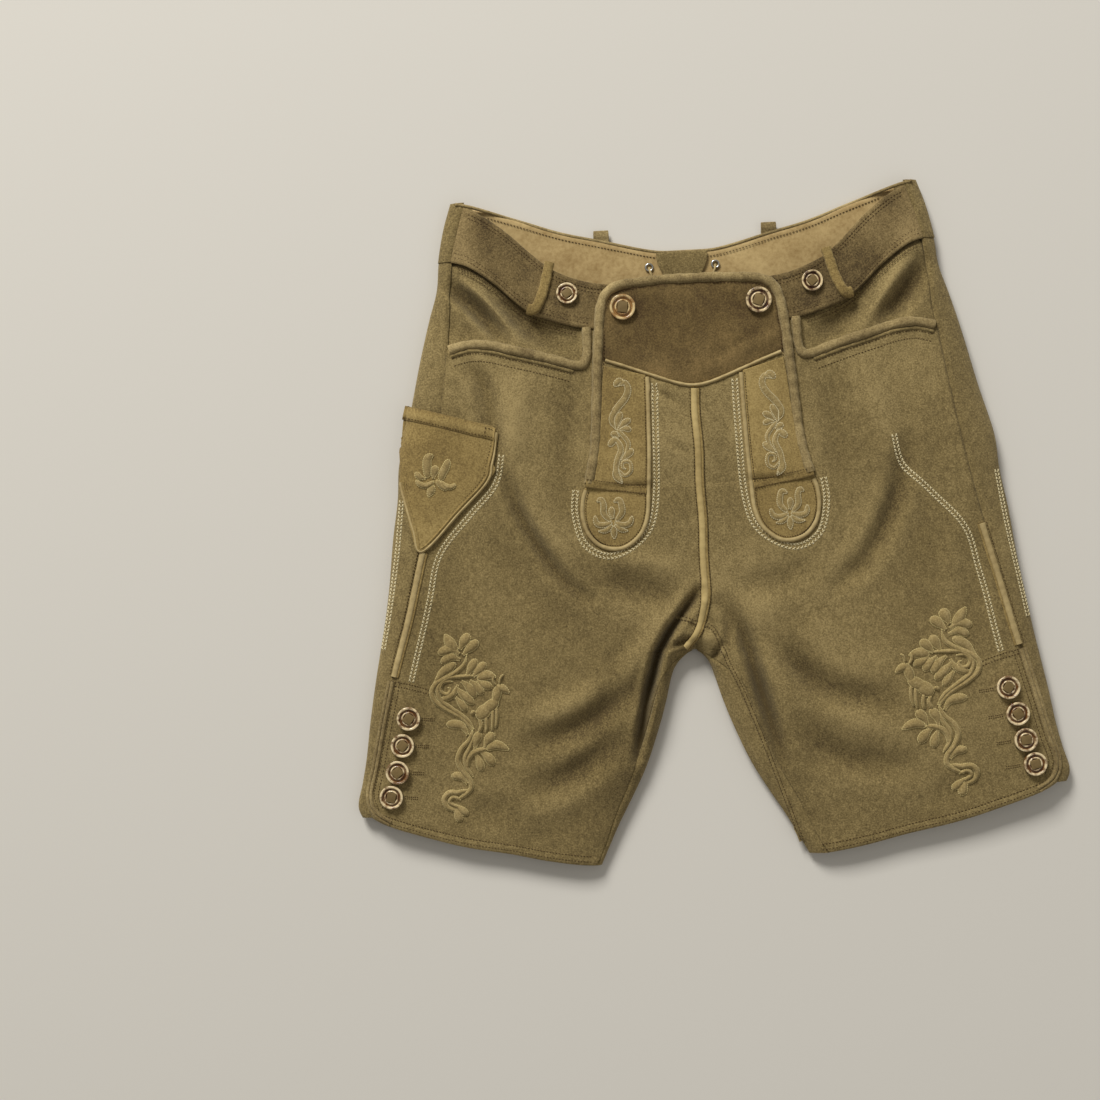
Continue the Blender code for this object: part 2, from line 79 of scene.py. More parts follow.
backBandSeam = (
    (0, 270), (28, 270), (77, 281), (113, 290), (150, 302), (190, 311), (226, 316),
)
backBandTop = (
    (0, 317), (28, 318), (77, 330), (113, 339), (150, 352), (190, 365), (212, 370),
)
crown = ((-240, 14), (-180, 16), (-100, 19), (0, 21), (150, 22), (260, 20), (320, 18), (372, 15))

# Creases: points along the trough, depth, half width. A negative depth is a ridge.
creases = (
    # wearer's right hip, under the waistband
    (((-213, 293), (-190, 270), (-168, 243)), 10.0, 6.3),
    (((-205, 300), (-180, 272), (-150, 238)), -4.0, 9),
    (((-168, 282), (-146, 256), (-112, 232)), 7.0, 12),
    (((-224, 262), (-206, 250), (-196, 238)), 1.6, 8),
    # below the pocket and down the thigh
    (((-190, 216), (-184, 176), (-176, 128)), 4.6, 9),
    (((-152, 214), (-160, 176), (-166, 132)), -3.6, 13),
    (((-206, 224), (-192, 206), (-184, 190)), 3.0, 7),
    (((-174, 124), (-160, 81), (-129, 28), (-104, 6)), 5.6, 6.2),
    (((-150, 112), (-138, 76), (-112, 34)), -4.0, 14),
    (((-112, 206), (-118, 150), (-122, 104)), 3.2, 12),
    (((-196, 92), (-200, 40), (-196, -14)), -1.4, 18),
    # from the crotch down the inside of the leg
    (((-6, 8), (-18, -9), (-27, -24), (-34, -43), (-36, -60), (-41, -78), (-47, -100), (-56, -140)),
     12.0, 5.0),
    (((-26, -41), (-15, -36), (-6, -35)), 4.0, 3.2),
    (((13, -54), (19, -50), (22, -40)), 3.6, 3.2),
    (((5, -28), (11, -36), (14, -45)), -3.0, 5.0),
    (((20, -18), (26, -30), (30, -50)), 3.0, 4.0),
    (((-12, -26), (0, -32), (14, -37)), -2.6, 8),
    (((-22, 6), (-46, -28), (-62, -72), (-72, -112)), -3.2, 10),
    (((-46, -70), (-84, -94), (-118, -112), (-152, -122)), 6.0, 12),
    (((-66, -112), (-104, -142), (-146, -158)), 4.6, 12),
    (((-84, -78), (-122, -92), (-160, -96)), -2.4, 12),
    (((-88, -154), (-122, -176), (-170, -186)), -2.2, 12),
    (((-20, 4), (-58, 12), (-92, 26)), 4.0, 13),
    (((-26, 28), (-58, 38), (-88, 40)), -1.6, 10),
    (((-230, -188), (-196, -180), (-160, -196)), 1.6, 12),
    # the front between the flap strips
    (((-37, 193), (-28, 186), (-17, 178)), 1.8, 4),
    (((-28, 146), (-18, 138), (-9, 132)), 1.2, 3.5),
    (((30, 176), (24, 130), (26, 80)), 1.4, 10),
    # wearer's left hip
    (((212, 290), (192, 264), (170, 240)), 6.8, 8.5),
    (((206, 308), (180, 276), (148, 242)), -3.6, 10),
    (((166, 272), (142, 250), (112, 230)), 5.6, 11),
    # wearer's left thigh and leg
    (((150, 206), (164, 160), (178, 116)), -2.4, 14),
    (((186, 132), (176, 84), (150, 34), (118, 6)), 5.6, 9),
    (((120, 190), (124, 150), (128, 104)), 2.0, 12),
    (((228, 96), (226, 40), (236, -20)), -1.8, 16),
    (((244, 40), (238, -10), (246, -60)), 1.6, 12),
    (((16, -2), (34, -24), (50, -52), (62, -98), (74, -148)), 7.5, 6.5),
    (((28, 8), (60, -22), (80, -80), (92, -128)), -3.2, 12),
    (((62, -34), (98, -70), (130, -90), (168, -96)), 5.0, 12),
    (((92, -120), (130, -150), (186, -160)), 4.2, 12),
    (((106, -96), (150, -122), (196, -124)), -2.2, 12),
    (((24, 10), (62, 14), (96, 28)), 2.2, 12),
    (((190, -196), (220, -180), (252, -178)), 1.6, 12),
)

# Trim routes for the +X half, as (x, y) points.
flapRim = (
    (99, 110), (92, 140), (89, 175), (86, 215), (83, 248), (80, 268), (74, 280), (62, 286),
    (40, 288), (20, 289), (0, 289),
)
yokeSeam = ((0, 193), (17, 196), (44, 206), (62, 213), (82, 220))
yokeTop = ((0, 287), (60, 284), (68, 281), (73, 277), (77, 268), (84, 252))
stripPiping = (
    (42, 202), (43, 165), (44, 135), (46, 104), (48, 80), (54, 64), (66, 53), (78, 50),
    (92, 54), (102, 65), (106, 80), (105, 95), (102, 104),
)
pocketWelt = (
    (218, 236), (200, 240), (180, 238), (160, 232.5), (140, 227), (120, 221), (106, 216.5),
    (98, 217.5), (94.5, 228), (94, 250),
)
sideStrip = ((251, 56), (260, 22), (269, -12), (281, -54))
centreStrip = (
    (0, 190), (-0.8, 168), (0.6, 134), (0, 104), (1.0, 72), (0.2, 38), (0.6, 8), (0, -10),
    (-0.5, -22), (-3, -32), (-9, -42),
)
frontLoop = ((124, 310), (127, 299), (131, 285), (136, 273), (140, 269), (145, 270))
legSlit = ((284, -58), (296, -104), (304, -136), (310.5, -160), (306, -176), (292, -186))


# many points on a smooth curve through a table's rows
def denseTable(rows):
    keys, values = [], []
    last = len(rows) - 1
    for i in range(last):
        (k0, v0), (k1, v1) = rows[i], rows[i + 1]
        before, after = rows[max(i - 1, 0)], rows[min(i + 2, last)]
        slope0 = (v1 - before[1]) / (k1 - before[0])
        slope1 = (after[1] - v0) / (after[0] - k0)
        t = np.linspace(0, 1, 17)[: 17 if i == last - 1 else 16]
        step = k1 - k0
        keys.append(k0 + step * t)
        values.append(
            v0 * (1 + 2 * t) * (1 - t) ** 2 + slope0 * step * t * (1 - t) ** 2
            + v1 * t * t * (3 - 2 * t) + slope1 * step * t * t * (t - 1)
        )
    return np.concatenate(keys), np.concatenate(values)


tables = {}


def along(rows, key):
    if rows not in tables:
        tables[rows] = denseTable(rows)
    return np.interp(key, *tables[rows])


def ease(low, high, value):
    t = np.clip((value - low) / (high - low), 0, 1)
    return t * t * (3 - 2 * t)


# count points, evenly spaced, on a smooth curve through the given ones
def route(points, count):
    points = np.array(points, float)
    fine = []
    last = len(points) - 1
    t = np.linspace(0, 1, 13)[:-1, None]
    for i in range(last):
        p0, p1, p2, p3 = points[max(i - 1, 0)], points[i], points[i + 1], points[min(i + 2, last)]
        fine.append(0.5 * (2 * p1 + (p2 - p0) * t + (2 * p0 - 5 * p1 + 4 * p2 - p3) * t ** 2
                           + (3 * p1 - p0 - 3 * p2 + p3) * t ** 3))
    fine = np.vstack(fine + [points[-1:]])
    run = np.concatenate([[0], np.cumsum(np.linalg.norm(np.diff(fine, axis=0), axis=1))])
    want = np.linspace(0, run[-1], count)
    return np.stack([np.interp(want, run, fine[:, i]) for i in range(points.shape[1])], axis=1)


def routeLength(points):
    fine = route(points, 80)
    return float(np.linalg.norm(np.diff(fine, axis=0), axis=1).sum())


# unit vectors to the left of a route
def sidesOf(points):
    ahead = np.gradient(points, axis=0)
    left = np.stack([-ahead[:, 1], ahead[:, 0]], axis=1)
    return left / np.maximum(np.linalg.norm(left, axis=1, keepdims=True), 1e-9)


def mirrored(points, side):
    return [(x * side, y) for x, y in points]


# distance from a broken line, and the share of the line where it is nearest
def distanceTo(points, x, y):
    best = np.full(np.shape(x), 1e9)
    share = np.zeros(np.shape(x))
    count = len(points) - 1
    for i in range(count):
        (x0, y0), (x1, y1) = points[i], points[i + 1]
        dx, dy = x1 - x0, y1 - y0
        t = np.clip(((x - x0) * dx + (y - y0) * dy) / (dx * dx + dy * dy), 0, 1)
        far = np.hypot(x - x0 - t * dx, y - y0 - t * dy)
        nearer = far < best
        best = np.where(nearer, far, best)
        share = np.where(nearer, (i + t) / count, share)
    return best, share


notchLine = [(x, y) for y, x in innerEdge] + [(-x, y) for y, x in reversed(innerEdge[:-1])]
creaseLines = [(route(points, 9), depth, reach) for points, depth, reach in creases]


# 1 where a distance is 0, falling away over the reach
def ridge(distance, reach):
    return np.exp(-(distance / reach) ** 2)


# the same round a point, over a reach across and a reach along
def patch(x, y, middleX, middleY, reachX, reachY):
    return np.exp(-(((x - middleX) / reachX) ** 2 + ((y - middleY) / reachY) ** 2))


def rise(share):
    t = np.clip(share, 0, 1)
    return np.sqrt(np.maximum(1 - (1 - t) ** 2, 0))


# relief of the creases: below zero in a trough, above it on a ridge
def creaseAt(x, y):
    total = np.zeros(np.shape(x))
    for line, depth, reach in creaseLines:
        lowX, lowY = line.min(axis=0) - 3 * reach
        highX, highY = line.max(axis=0) + 3 * reach
        near = (x > lowX) & (x < highX) & (y > lowY) & (y < highY)
        if not near.any():
            continue
        far, share = distanceTo(line, x[near], y[near])
        taper = np.sin(np.pi * np.clip(share * 0.9 + 0.05, 0, 1)) ** 0.7
        trough = ridge(far, reach)
        shoulder = 0.3 * ridge(far - 1.7 * reach, reach)
        total[near] -= depth * taper * (trough - shoulder)
    return total


# slow unevenness of soft leather, about half a millimetre
def rippleAt(x, y):
    a = np.sin(x / 23 + 1.3 * np.sin(y / 41)) * np.sin(y / 31 + 0.8)
    b = np.sin(x / 11.5 - y / 17 + 2.1) * np.sin(y / 13.5 + x / 29)
    c = np.sin(x / 61 + y / 47 + 0.6)
    return 0.45 * a + 0.2 * b + 0.7 * c


# 0 at the outermost line of a fold, 1 where the cloth runs level
def levelAt(x, y):
    outer = rise((along(outerEdge, y) - np.abs(x)) / laid["foldReach"])
    inner = rise(distanceTo(notchLine, x, y)[0] / laid["notchReach"])
    return outer * np.where(y < laid["notchReach"] + laid["crotchY"] + 10, inner, 1.0)


def bodyTop(x, y):
    top = along(crown, y)
    edge = laid["edgeShare"] * top
    level = levelAt(x, y)
    soft = np.clip(level * 1.5, 0, 1)
    return edge + (top - edge) * level + creaseAt(x, y) * soft + rippleAt(x, y) * level


# points of the body's top over x and y, moved out by lift along its normals
def onBody(x, y, lift):
    x, y = np.asarray(x, float), np.asarray(y, float)
    x, y = np.broadcast_arrays(x, y)
    x, y = x.copy(), y.copy()
    h = 0.7
    z = bodyTop(x, y)
    slopeX = (bodyTop(x + h, y) - bodyTop(x - h, y)) / (2 * h)
    slopeY = (bodyTop(x, y + h) - bodyTop(x, y - h)) / (2 * h)
    size = np.sqrt(slopeX ** 2 + slopeY ** 2 + 1)
    return np.stack([x - slopeX / size * lift, y - slopeY / size * lift, z + lift / size], axis=-1)


# table points in the frame: the gap between the legs pushed sideways, Y from the middle
def placed(points):
    points = np.asarray(points, float)
    x, y, z = points[..., 0], points[..., 1], points[..., 2]
    push = laid["legSway"] * (1 - ease(-70, 10, y)) * (1 - np.abs(x) / laid["halfWidth"])
    return np.stack([x + push, y - laid["middleY"], z], axis=-1) * mm


def newGroup(name, inputs, outputs):
    group = bpy.data.node_groups.new(name, "ShaderNodeTree")
    for label, kind, value in inputs:
        socket = group.interface.new_socket(label, in_out="INPUT", socket_type=kind)
        socket.default_value = value
    for label, kind in outputs:
        group.interface.new_socket(label, in_out="OUTPUT", socket_type=kind)
    start = group.nodes.new("NodeGroupInput")
    end = group.nodes.new("NodeGroupOutput")
    return group, start, end


def addNoise(tree, vector, scale, detail, rough=0.55, scaleFrom=None):
    noise = tree.nodes.new("ShaderNodeTexNoise")
    noise.inputs["Scale"].default_value = scale
    noise.inputs["Detail"].default_value = detail
    noise.inputs["Roughness"].default_value = rough
    tree.links.new(vector, noise.inputs["Vector"])
    if scaleFrom is not None:
        tree.links.new(scaleFrom, noise.inputs["Scale"])
    return noise.outputs["Fac"]


def addMath(tree, operation, first, second):
    node = tree.nodes.new("ShaderNodeMath")
    node.operation = operation
    for socket, value in zip(node.inputs, (first, second)):
        if isinstance(value, (int, float)):
            socket.default_value = value
        else:
            tree.links.new(value, socket)
    return node.outputs[0]


def addMix(tree, share, first, second, blend="MIX"):
    node = tree.nodes.new("ShaderNodeMix")
    node.data_type = "RGBA"
    node.blend_type = blend
    for socket, value in ((node.inputs[0], share), (node.inputs[6], first), (node.inputs[7], second)):
        if isinstance(value, (int, float)):
            socket.default_value = value
        elif isinstance(value, tuple):
            socket.default_value = value
        else:
            tree.links.new(value, socket)
    return node.outputs[2]


def remap(tree, value, fromLow, fromHigh, toLow, toHigh):
    node = tree.nodes.new("ShaderNodeMapRange")
    tree.links.new(value, node.inputs[0])
    for socket, number in zip(list(node.inputs)[1:5], (fromLow, fromHigh, toLow, toHigh)):
        socket.default_value = number
    return node.outputs[0]


# mottled nap: soft patches, brushed streaks and a fine speckle
def makeSuedeGroup():
    group, start, end = newGroup(
        "brushedNap",
        (("Dark", "NodeSocketColor", (0.1, 0.07, 0.03, 1)),
         ("Middle", "NodeSocketColor", (0.2, 0.15, 0.06, 1)),
         ("Light", "NodeSocketColor", (0.3, 0.23, 0.1, 1)),
         ("Patches", "NodeSocketFloat", 1.0), ("Speckle", "NodeSocketFloat", 1.0)),
        (("Color", "NodeSocketColor"), ("Height", "NodeSocketFloat"),
         ("Roughness", "NodeSocketFloat")),
    )
    place = group.nodes.new("ShaderNodeTexCoord").outputs["Object"]
    broad = addNoise(group, place, 11, 3)
    middle = addNoise(group, place, 48, 4, 0.6)
    brushed = group.nodes.new("ShaderNodeMapping")
    brushed.inputs["Scale"].default_value = (1.0, 0.62, 1.0)
    brushed.inputs["Rotation"].default_value = (0, 0, 0.5)
    group.links.new(place, brushed.inputs["Vector"])
    streak = addNoise(group, brushed.outputs[0], 190, 3, 0.6)
    speckle = addNoise(group, place, 680, 3, 0.72)
    nap = addNoise(group, place, 2100, 2, 0.6)
    relief = group.nodes.new("ShaderNodeAttribute")
    relief.attribute_name = "relief"
    patches = addMath(group, "ADD", remap(group, broad, 0.3, 0.7, -0.34, 0.34),
                      remap(group, middle, 0.3, 0.7, -0.17, 0.17))
    patches = addMath(group, "MULTIPLY", patches, start.outputs["Patches"])
    fine = addMath(group, "ADD", remap(group, streak, 0.3, 0.7, -0.08, 0.08),
                   remap(group, speckle, 0.3, 0.7, -0.27, 0.27))
    fine = addMath(group, "MULTIPLY", fine, start.outputs["Speckle"])
    level = addMath(group, "ADD", patches, fine)
    # the relief attribute shifts the tone: painted shade in troughs, seams and grooves, painted highlight
    # on ridges and rolls, and slow lighter and darker zones
    level = addMath(group, "ADD", level, addMath(group, "MULTIPLY", relief.outputs["Fac"], 0.42))
    level = addMath(group, "ADD", level, 0.5)
    low = addMix(group, remap(group, level, 0.0, 0.5, 0, 1), start.outputs["Dark"],
                 start.outputs["Middle"])
    whole = addMix(group, remap(group, level, 0.5, 1.0, 0, 1), low, start.outputs["Light"])
    group.links.new(whole, end.inputs["Color"])
    height = addMath(group, "ADD", addMath(group, "MULTIPLY", speckle, 0.6),
                     addMath(group, "MULTIPLY", nap, 0.4))
    height = addMath(group, "ADD", height, addMath(group, "MULTIPLY", streak, 0.5))
    group.links.new(height, end.inputs["Height"])
    group.links.new(remap(group, middle, 0.3, 0.7, 0.86, 0.98), end.inputs["Roughness"])
    return group


# smooth leather: fine pebble, slow stains and rubbed spots
def makeGrainGroup():
    group, start, end = newGroup(
        "smoothGrain",
        (("Base", "NodeSocketColor", (0.4, 0.3, 0.15, 1)),
         ("Stain", "NodeSocketColor", (0.25, 0.17, 0.08, 1)),
         ("Scale", "NodeSocketFloat", 900.0), ("Stains", "NodeSocketFloat", 0.5)),
        (("Color", "NodeSocketColor"), ("Height", "NodeSocketFloat"),
         ("Roughness", "NodeSocketFloat")),
    )
    place = group.nodes.new("ShaderNodeTexCoord").outputs["Object"]
    slow = addNoise(group, place, 26, 4, 0.6)
    pebble = addNoise(group, place, 900, 2, 0.5, start.outputs["Scale"])
    spots = addNoise(group, place, 260, 3, 0.65)
    share = addMath(group, "ADD", remap(group, slow, 0.35, 0.7, 0, 0.8),
                    remap(group, spots, 0.4, 0.7, -0.1, 0.35))
    share = addMath(group, "MULTIPLY", share, start.outputs["Stains"])
    share = addMath(group, "MAXIMUM", share, 0.0)
    group.links.new(addMix(group, share, start.outputs["Base"], start.outputs["Stain"]),
                    end.inputs["Color"])
    group.links.new(addMath(group, "ADD", pebble, addMath(group, "MULTIPLY", spots, 0.6)),
                    end.inputs["Height"])
    group.links.new(remap(group, slow, 0.3, 0.7, 0.5, 0.72), end.inputs["Roughness"])
    return group


# polished horn: cloudy cream and brown with dark flecks round the disc
def makeHornGroup():
    group, start, end = newGroup(
        "marbledHorn",
        (("Pale", "NodeSocketColor", (0.6, 0.48, 0.3, 1)),
         ("Brown", "NodeSocketColor", (0.13, 0.06, 0.025, 1)), ("Shift", "NodeSocketFloat", 0.0)),
        (("Color", "NodeSocketColor"), ("Height", "NodeSocketFloat")),
    )
    place = group.nodes.new("ShaderNodeTexCoord").outputs["Object"]
    moved = group.nodes.new("ShaderNodeVectorMath")
    moved.operation = "ADD"
    group.links.new(place, moved.inputs[0])
    group.links.new(start.outputs["Shift"], moved.inputs[1])
    cloud = addNoise(group, moved.outputs[0], 170, 4, 0.6)
    fleck = addNoise(group, moved.outputs[0], 900, 3, 0.7)
    share = addMath(group, "ADD", remap(group, cloud, 0.46, 0.6, 0, 0.9),
                    remap(group, fleck, 0.55, 0.75, 0, 0.35))
    # the relief attribute turns the groove and the disc's foot browner: painted shade in the hollows
    turned = group.nodes.new("ShaderNodeAttribute")
    turned.attribute_name = "relief"
    share = addMath(group, "ADD", share, turned.outputs["Fac"])
    share = addMath(group, "MINIMUM", share, 1.0)
    group.links.new(addMix(group, share, start.outputs["Pale"], start.outputs["Brown"]),
                    end.inputs["Color"])
    group.links.new(fleck, end.inputs["Height"])
    return group


suedeGroup, grainGroup, hornGroup = makeSuedeGroup(), makeGrainGroup(), makeHornGroup()


slots = {}


# a material: one of the groups feeding a Principled shader, with bump from its height
def shaded(name, slotName, group, values, roughness, bump, distance, sheen=0.0, coat=0.0):
    made = bpy.data.materials.new(name)
    slots[made.name] = slotName
    made.use_nodes = True
    tree = made.node_tree
    shader = tree.nodes["Principled BSDF"]
    node = tree.nodes.new("ShaderNodeGroup")
    node.node_tree = group
    for label, value in values.items():
        node.inputs[label].default_value = value
    tree.links.new(node.outputs["Color"], shader.inputs["Base Color"])
    if "Roughness" in node.outputs and roughness is None:
        tree.links.new(node.outputs["Roughness"], shader.inputs["Roughness"])
    else:
        shader.inputs["Roughness"].default_value = roughness
    bumped = tree.nodes.new("ShaderNodeBump")
    bumped.inputs["Strength"].default_value = bump
    bumped.inputs["Distance"].default_value = distance
    tree.links.new(node.outputs["Height"], bumped.inputs["Height"])
    tree.links.new(bumped.outputs["Normal"], shader.inputs["Normal"])
    shader.inputs["Sheen Weight"].default_value = sheen
    shader.inputs["Sheen Roughness"].default_value = 0.6
    shader.inputs["Sheen Tint"].default_value = (0.9, 0.78, 0.5, 1)
    shader.inputs["Specular IOR Level"].default_value = 0.5 if coat else 0.2
    shader.inputs["Coat Weight"].default_value = coat
    shader.inputs["Coat Roughness"].default_value = 0.15
    return made


# a colour given as it looks on a screen, from 0 to 255
def tone(red, green, blue):
    return tuple(((c / 255 + 0.055) / 1.055) ** 2.4 if c > 10 else c / 3295
                 for c in (red, green, blue)) + (1,)


# name, slot, tones, strength of patches and speckle, bump and its distance in metres, sheen
suedeTable = (
    ("suede", "suede", (76, 61, 32), (122, 104, 63), (161, 140, 92), 0.34, 1.5, 0.9, 0.0009, 0.25),
    ("bandSuede", "suede", (68, 53, 28), (114, 95, 58), (152, 130, 86), 0.5, 1.4, 0.9, 0.0009, 0.2),
    ("yokeSuede", "yoke_suede", (72, 54, 28), (102, 83, 47), (132, 108, 66), 0.9, 1.5, 0.8, 0.0008, 0.15),
    ("padSuede", "trim_suede", (104, 86, 50), (142, 122, 76), (180, 158, 110), 0.4, 1.3, 0.5, 0.0005, 0.25),
    ("trimSuede", "trim_suede", (92, 72, 38), (134, 112, 64), (166, 142, 88), 0.5, 1.4, 0.7, 0.0007, 0.2),
    ("rimSuede", "suede", (88, 70, 40), (136, 117, 76), (178, 156, 108), 0.9, 1.2, 0.7, 0.0008, 0.25),
)
suede, bandSuede, yokeSuede, padSuede, trimSuede, rimSuede = [
    shaded(name, slotName, suedeGroup, {
        "Dark": tone(*dark), "Middle": tone(*middle), "Light": tone(*light),
        "Patches": patches, "Speckle": speckle}, None, bump, distance, sheen)
    for name, slotName, dark, middle, light, patches, speckle, bump, distance, sheen in suedeTable
]
# name, slot, base and stain, grain scale, stains, roughness if not the grain's own, bump, its distance
grainTable = (
    ("paleTrim", "tan_trim", (186, 163, 108), (140, 117, 70), 1100.0, 0.6, None, 0.4, 0.0004),
    ("tanTrim", "tan_trim", (182, 161, 112), (132, 110, 68), 1100.0, 0.7, None, 0.4, 0.0004),
    ("liningTan", "lining", (190, 164, 112), (136, 108, 62), 1500.0, 0.85, None, 0.25, 0.0004),
    ("laceTan", "lace", (126, 105, 66), (84, 66, 38), 1300.0, 0.7, None, 0.4, 0.0003),
    ("creamThread", "tan_trim", (216, 202, 160), (178, 162, 118), 2500.0, 0.5, 0.6, 0.3, 0.0002),
    ("outlineThread", "tan_trim", (210, 192, 134), (168, 146, 90), 2500.0, 0.6, 0.6, 0.3, 0.0002),
    ("brownThread", "suede", (74, 54, 28), (50, 34, 16), 2500.0, 0.5, 0.7, 0.3, 0.0002),
    ("steelPlate", "steel", (196, 196, 190), (120, 118, 108), 3000.0, 0.3, 0.3, 0.1, 0.0001),
)
paleTrim, tanTrim, liningTan, laceTan, creamThread, outlineThread, brownThread, steelPlate = [
    shaded(name, slotName, grainGroup, {
        "Base": tone(*base), "Stain": tone(*stain), "Scale": scale, "Stains": stains},
        roughness, bump, distance)
    for name, slotName, base, stain, scale, stains, roughness, bump, distance in grainTable
]
steelPlate.node_tree.nodes["Principled BSDF"].inputs["Metallic"].default_value = 1.0
print("materials made")


def clearSelection():
    if bpy.context.mode != "OBJECT":
        bpy.ops.object.mode_set(mode="OBJECT")
    bpy.ops.object.select_all(action="DESELECT")


def choose(piece):
    clearSelection()
    piece.select_set(True)
    bpy.context.view_layer.objects.active = piece


def meshPiece(name, points, faces, material, smooth=True):
    mesh = bpy.data.meshes.new(name)
    mesh.from_pydata(points.reshape(-1, 3).tolist(), [], faces)
    mesh.materials.append(material)
    if smooth:
        mesh.shade_smooth()
    made = bpy.data.objects.new(name, mesh)
    bpy.context.scene.collection.objects.link(made)
    return made


def gridFaces(rows, columns, flip=False, closed=False):
    r, c = np.meshgrid(np.arange(rows - 1), np.arange(columns if closed else columns - 1),
                       indexing="ij")
    a = r * columns + c
    b = r * columns + (c + 1) % columns
    quads = np.stack([a, b, b + columns, a + columns], axis=-1).reshape(-1, 4)
    return (quads[:, ::-1] if flip else quads).tolist()


# a grid closed round its columns, with both ends capped
def tubeFaces(rows, columns):
    faces = gridFaces(rows, columns, closed=True)
    faces.append(list(range(columns)))
    faces.append([(rows - 1) * columns + i for i in reversed(range(columns))])
    return faces


def addAttribute(piece, values):
    stored = piece.data.attributes.new("relief", "FLOAT", "POINT")
    stored.data.foreach_set("value", np.asarray(values, np.float32).ravel())


def applyModifier(piece, kind, **settings):
    choose(piece)
    modifier = piece.modifiers.new(kind.title(), kind)
    for key, value in settings.items():
        setattr(modifier, key, value)
    bpy.ops.object.modifier_apply(modifier=modifier.name)


# a piece is attached to the root and the frame's nodes it stands for are hidden; its slot name is looked up
# but not used
def finishPiece(piece, nodes=(), slotName=None):
    slotName = slotName or slots[piece.data.materials[0].name]
    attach(piece, "root")
    if nodes:
        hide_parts(*nodes)
    return piece


# a sheet of leather on its solid's form: a wall of its thickness, with rounded cut edges
def sheetPiece(name, grid, thickness, material, nodes, flip=False, relief=None):
    flats[nodes[0]] = flat = flatOf(grid)
    points = placed(grid)
    rows, columns = grid.shape[:2]
    piece = meshPiece(name, points, gridFaces(rows, columns, flip), material)
    addAttribute(piece, np.zeros((rows, columns)) if relief is None else relief)
    applyModifier(piece, "SOLIDIFY", thickness=thickness * mm, offset=-1)
    applyModifier(piece, "BEVEL", width=laid["cutEdge"] * mm, segments=2, limit_method="ANGLE",
                  angle_limit=math.radians(55))
    choose(piece)
    bpy.ops.object.shade_smooth_by_angle(angle=math.radians(50))
    return finishPiece(piece, nodes)


# a strip along a route on the body, with a flat underside and a rounded top
def strapPiece(name, points, width, under, thick, count, material, nodes=(), side=1, power=2.2,
               underAt=None, uneven=0.06):
    line = route(mirrored(points, side), count)
    left = sidesOf(line)
    turn = np.linspace(0, np.pi, 11)
    across = np.sign(np.cos(turn)) * np.abs(np.cos(turn)) ** (2 / power)
    rising = np.sin(turn) ** (2 / power)
    across = np.concatenate([across, [-0.9, 0.0, 0.9]])
    rising = np.concatenate([rising, [-0.12, -0.12, -0.12]])
    steps = np.arange(count)
    swell = 1 + uneven * (np.sin(steps * 0.9) * 0.5 + np.sin(steps * 0.37 + 1) * 0.5)
    x = line[:, :1] + left[:, :1] * across * width / 2 * swell[:, None]
    y = line[:, 1:] + left[:, 1:] * across * width / 2 * swell[:, None]
    base = under if underAt is None else underAt(line[:, 0], line[:, 1])[:, None]
    grid = onBody(x, y, base + thick * rising * swell[:, None])
    piece = meshPiece(name, placed(grid), tubeFaces(count, len(across)), material)
    addAttribute(piece, np.zeros((count, len(across))))
    fixNormals(piece)
    choose(piece)
    bpy.ops.object.shade_smooth_by_angle(angle=math.radians(60))
    return finishPiece(piece, nodes)


def fixNormals(piece):
    choose(piece)
    bpy.ops.object.mode_set(mode="EDIT")
    bpy.ops.mesh.select_all(action="SELECT")
    bpy.ops.mesh.normals_make_consistent(inside=False)
    bpy.ops.object.mode_set(mode="OBJECT")


# share of a stitch's length, its size there, and how far it rises in radii
stitchShape = ((0.0, 0.35, -0.9), (0.22, 1.0, 0.1), (0.78, 1.0, 0.1), (1.0, 0.35, -0.9))


# short stitches gathered into one mesh
class threadBox:
    def __init__(self, name, radius, material):
        self.name, self.radius, self.material = name, radius, material
        self.starts, self.ends, self.lifts = [], [], []

    def add(self, starts, ends, lift):
        self.starts.append(np.asarray(starts, float))
        self.ends.append(np.asarray(ends, float))
        self.lifts.append(np.broadcast_to(np.asarray(lift, float), (len(starts),)))

    def finish(self):
        a, b = np.concatenate(self.starts), np.concatenate(self.ends)
        lift = np.concatenate(self.lifts)
        ahead = b - a
        ahead = ahead / np.maximum(np.linalg.norm(ahead, axis=1, keepdims=True), 1e-6)
        left = np.stack([-ahead[:, 1], ahead[:, 0]], axis=1)
        sides, count = 5, len(a)
        rings = []
        for share, swell, sink in stitchShape:
            centre = a + (b - a) * share
            for k in range(sides):
                angle = 2 * math.pi * k / sides
                q = centre + left * (math.cos(angle) * self.radius * swell)
                up = lift + self.radius * (sink + swell * math.sin(angle))
                rings.append(onBody(q[:, 0], q[:, 1], up))
        first = len(rings) * np.arange(count)[:, None, None]
        quads = np.array(gridFaces(len(stitchShape), sides, closed=True))[None] + first
        caps = np.array([[4, 3, 2, 1, 0], [15, 16, 17, 18, 19]])[None] + first
        faces = quads.reshape(-1, 4).tolist() + caps.reshape(-1, sides).tolist()
        piece = meshPiece(self.name, placed(np.stack(rings, axis=1)), faces, self.material)
        fixNormals(piece)
        print(self.name, count, "stitches")
        return finishPiece(piece)


# how far the stitches lie above what they cross
def liftOver(lift, liftAt, x, y):
    return lift if liftAt is None else lift + liftAt(x, y)


# a row of straight stitches beside a route
def stitchRow(box, points, pitch, lift, offset=0.0, share=0.68, side=1, liftAt=None):
    count = max(int(routeLength(points) / pitch), 1)
    line = route(mirrored(points, side), count * 4 + 1)
    line = line + sidesOf(line) * offset * side
    starts = line[0:-4:4]
    ends = starts + (line[4::4] - starts) * share
    box.add(starts, ends, liftOver(lift, liftAt, starts[:, 0], starts[:, 1]))


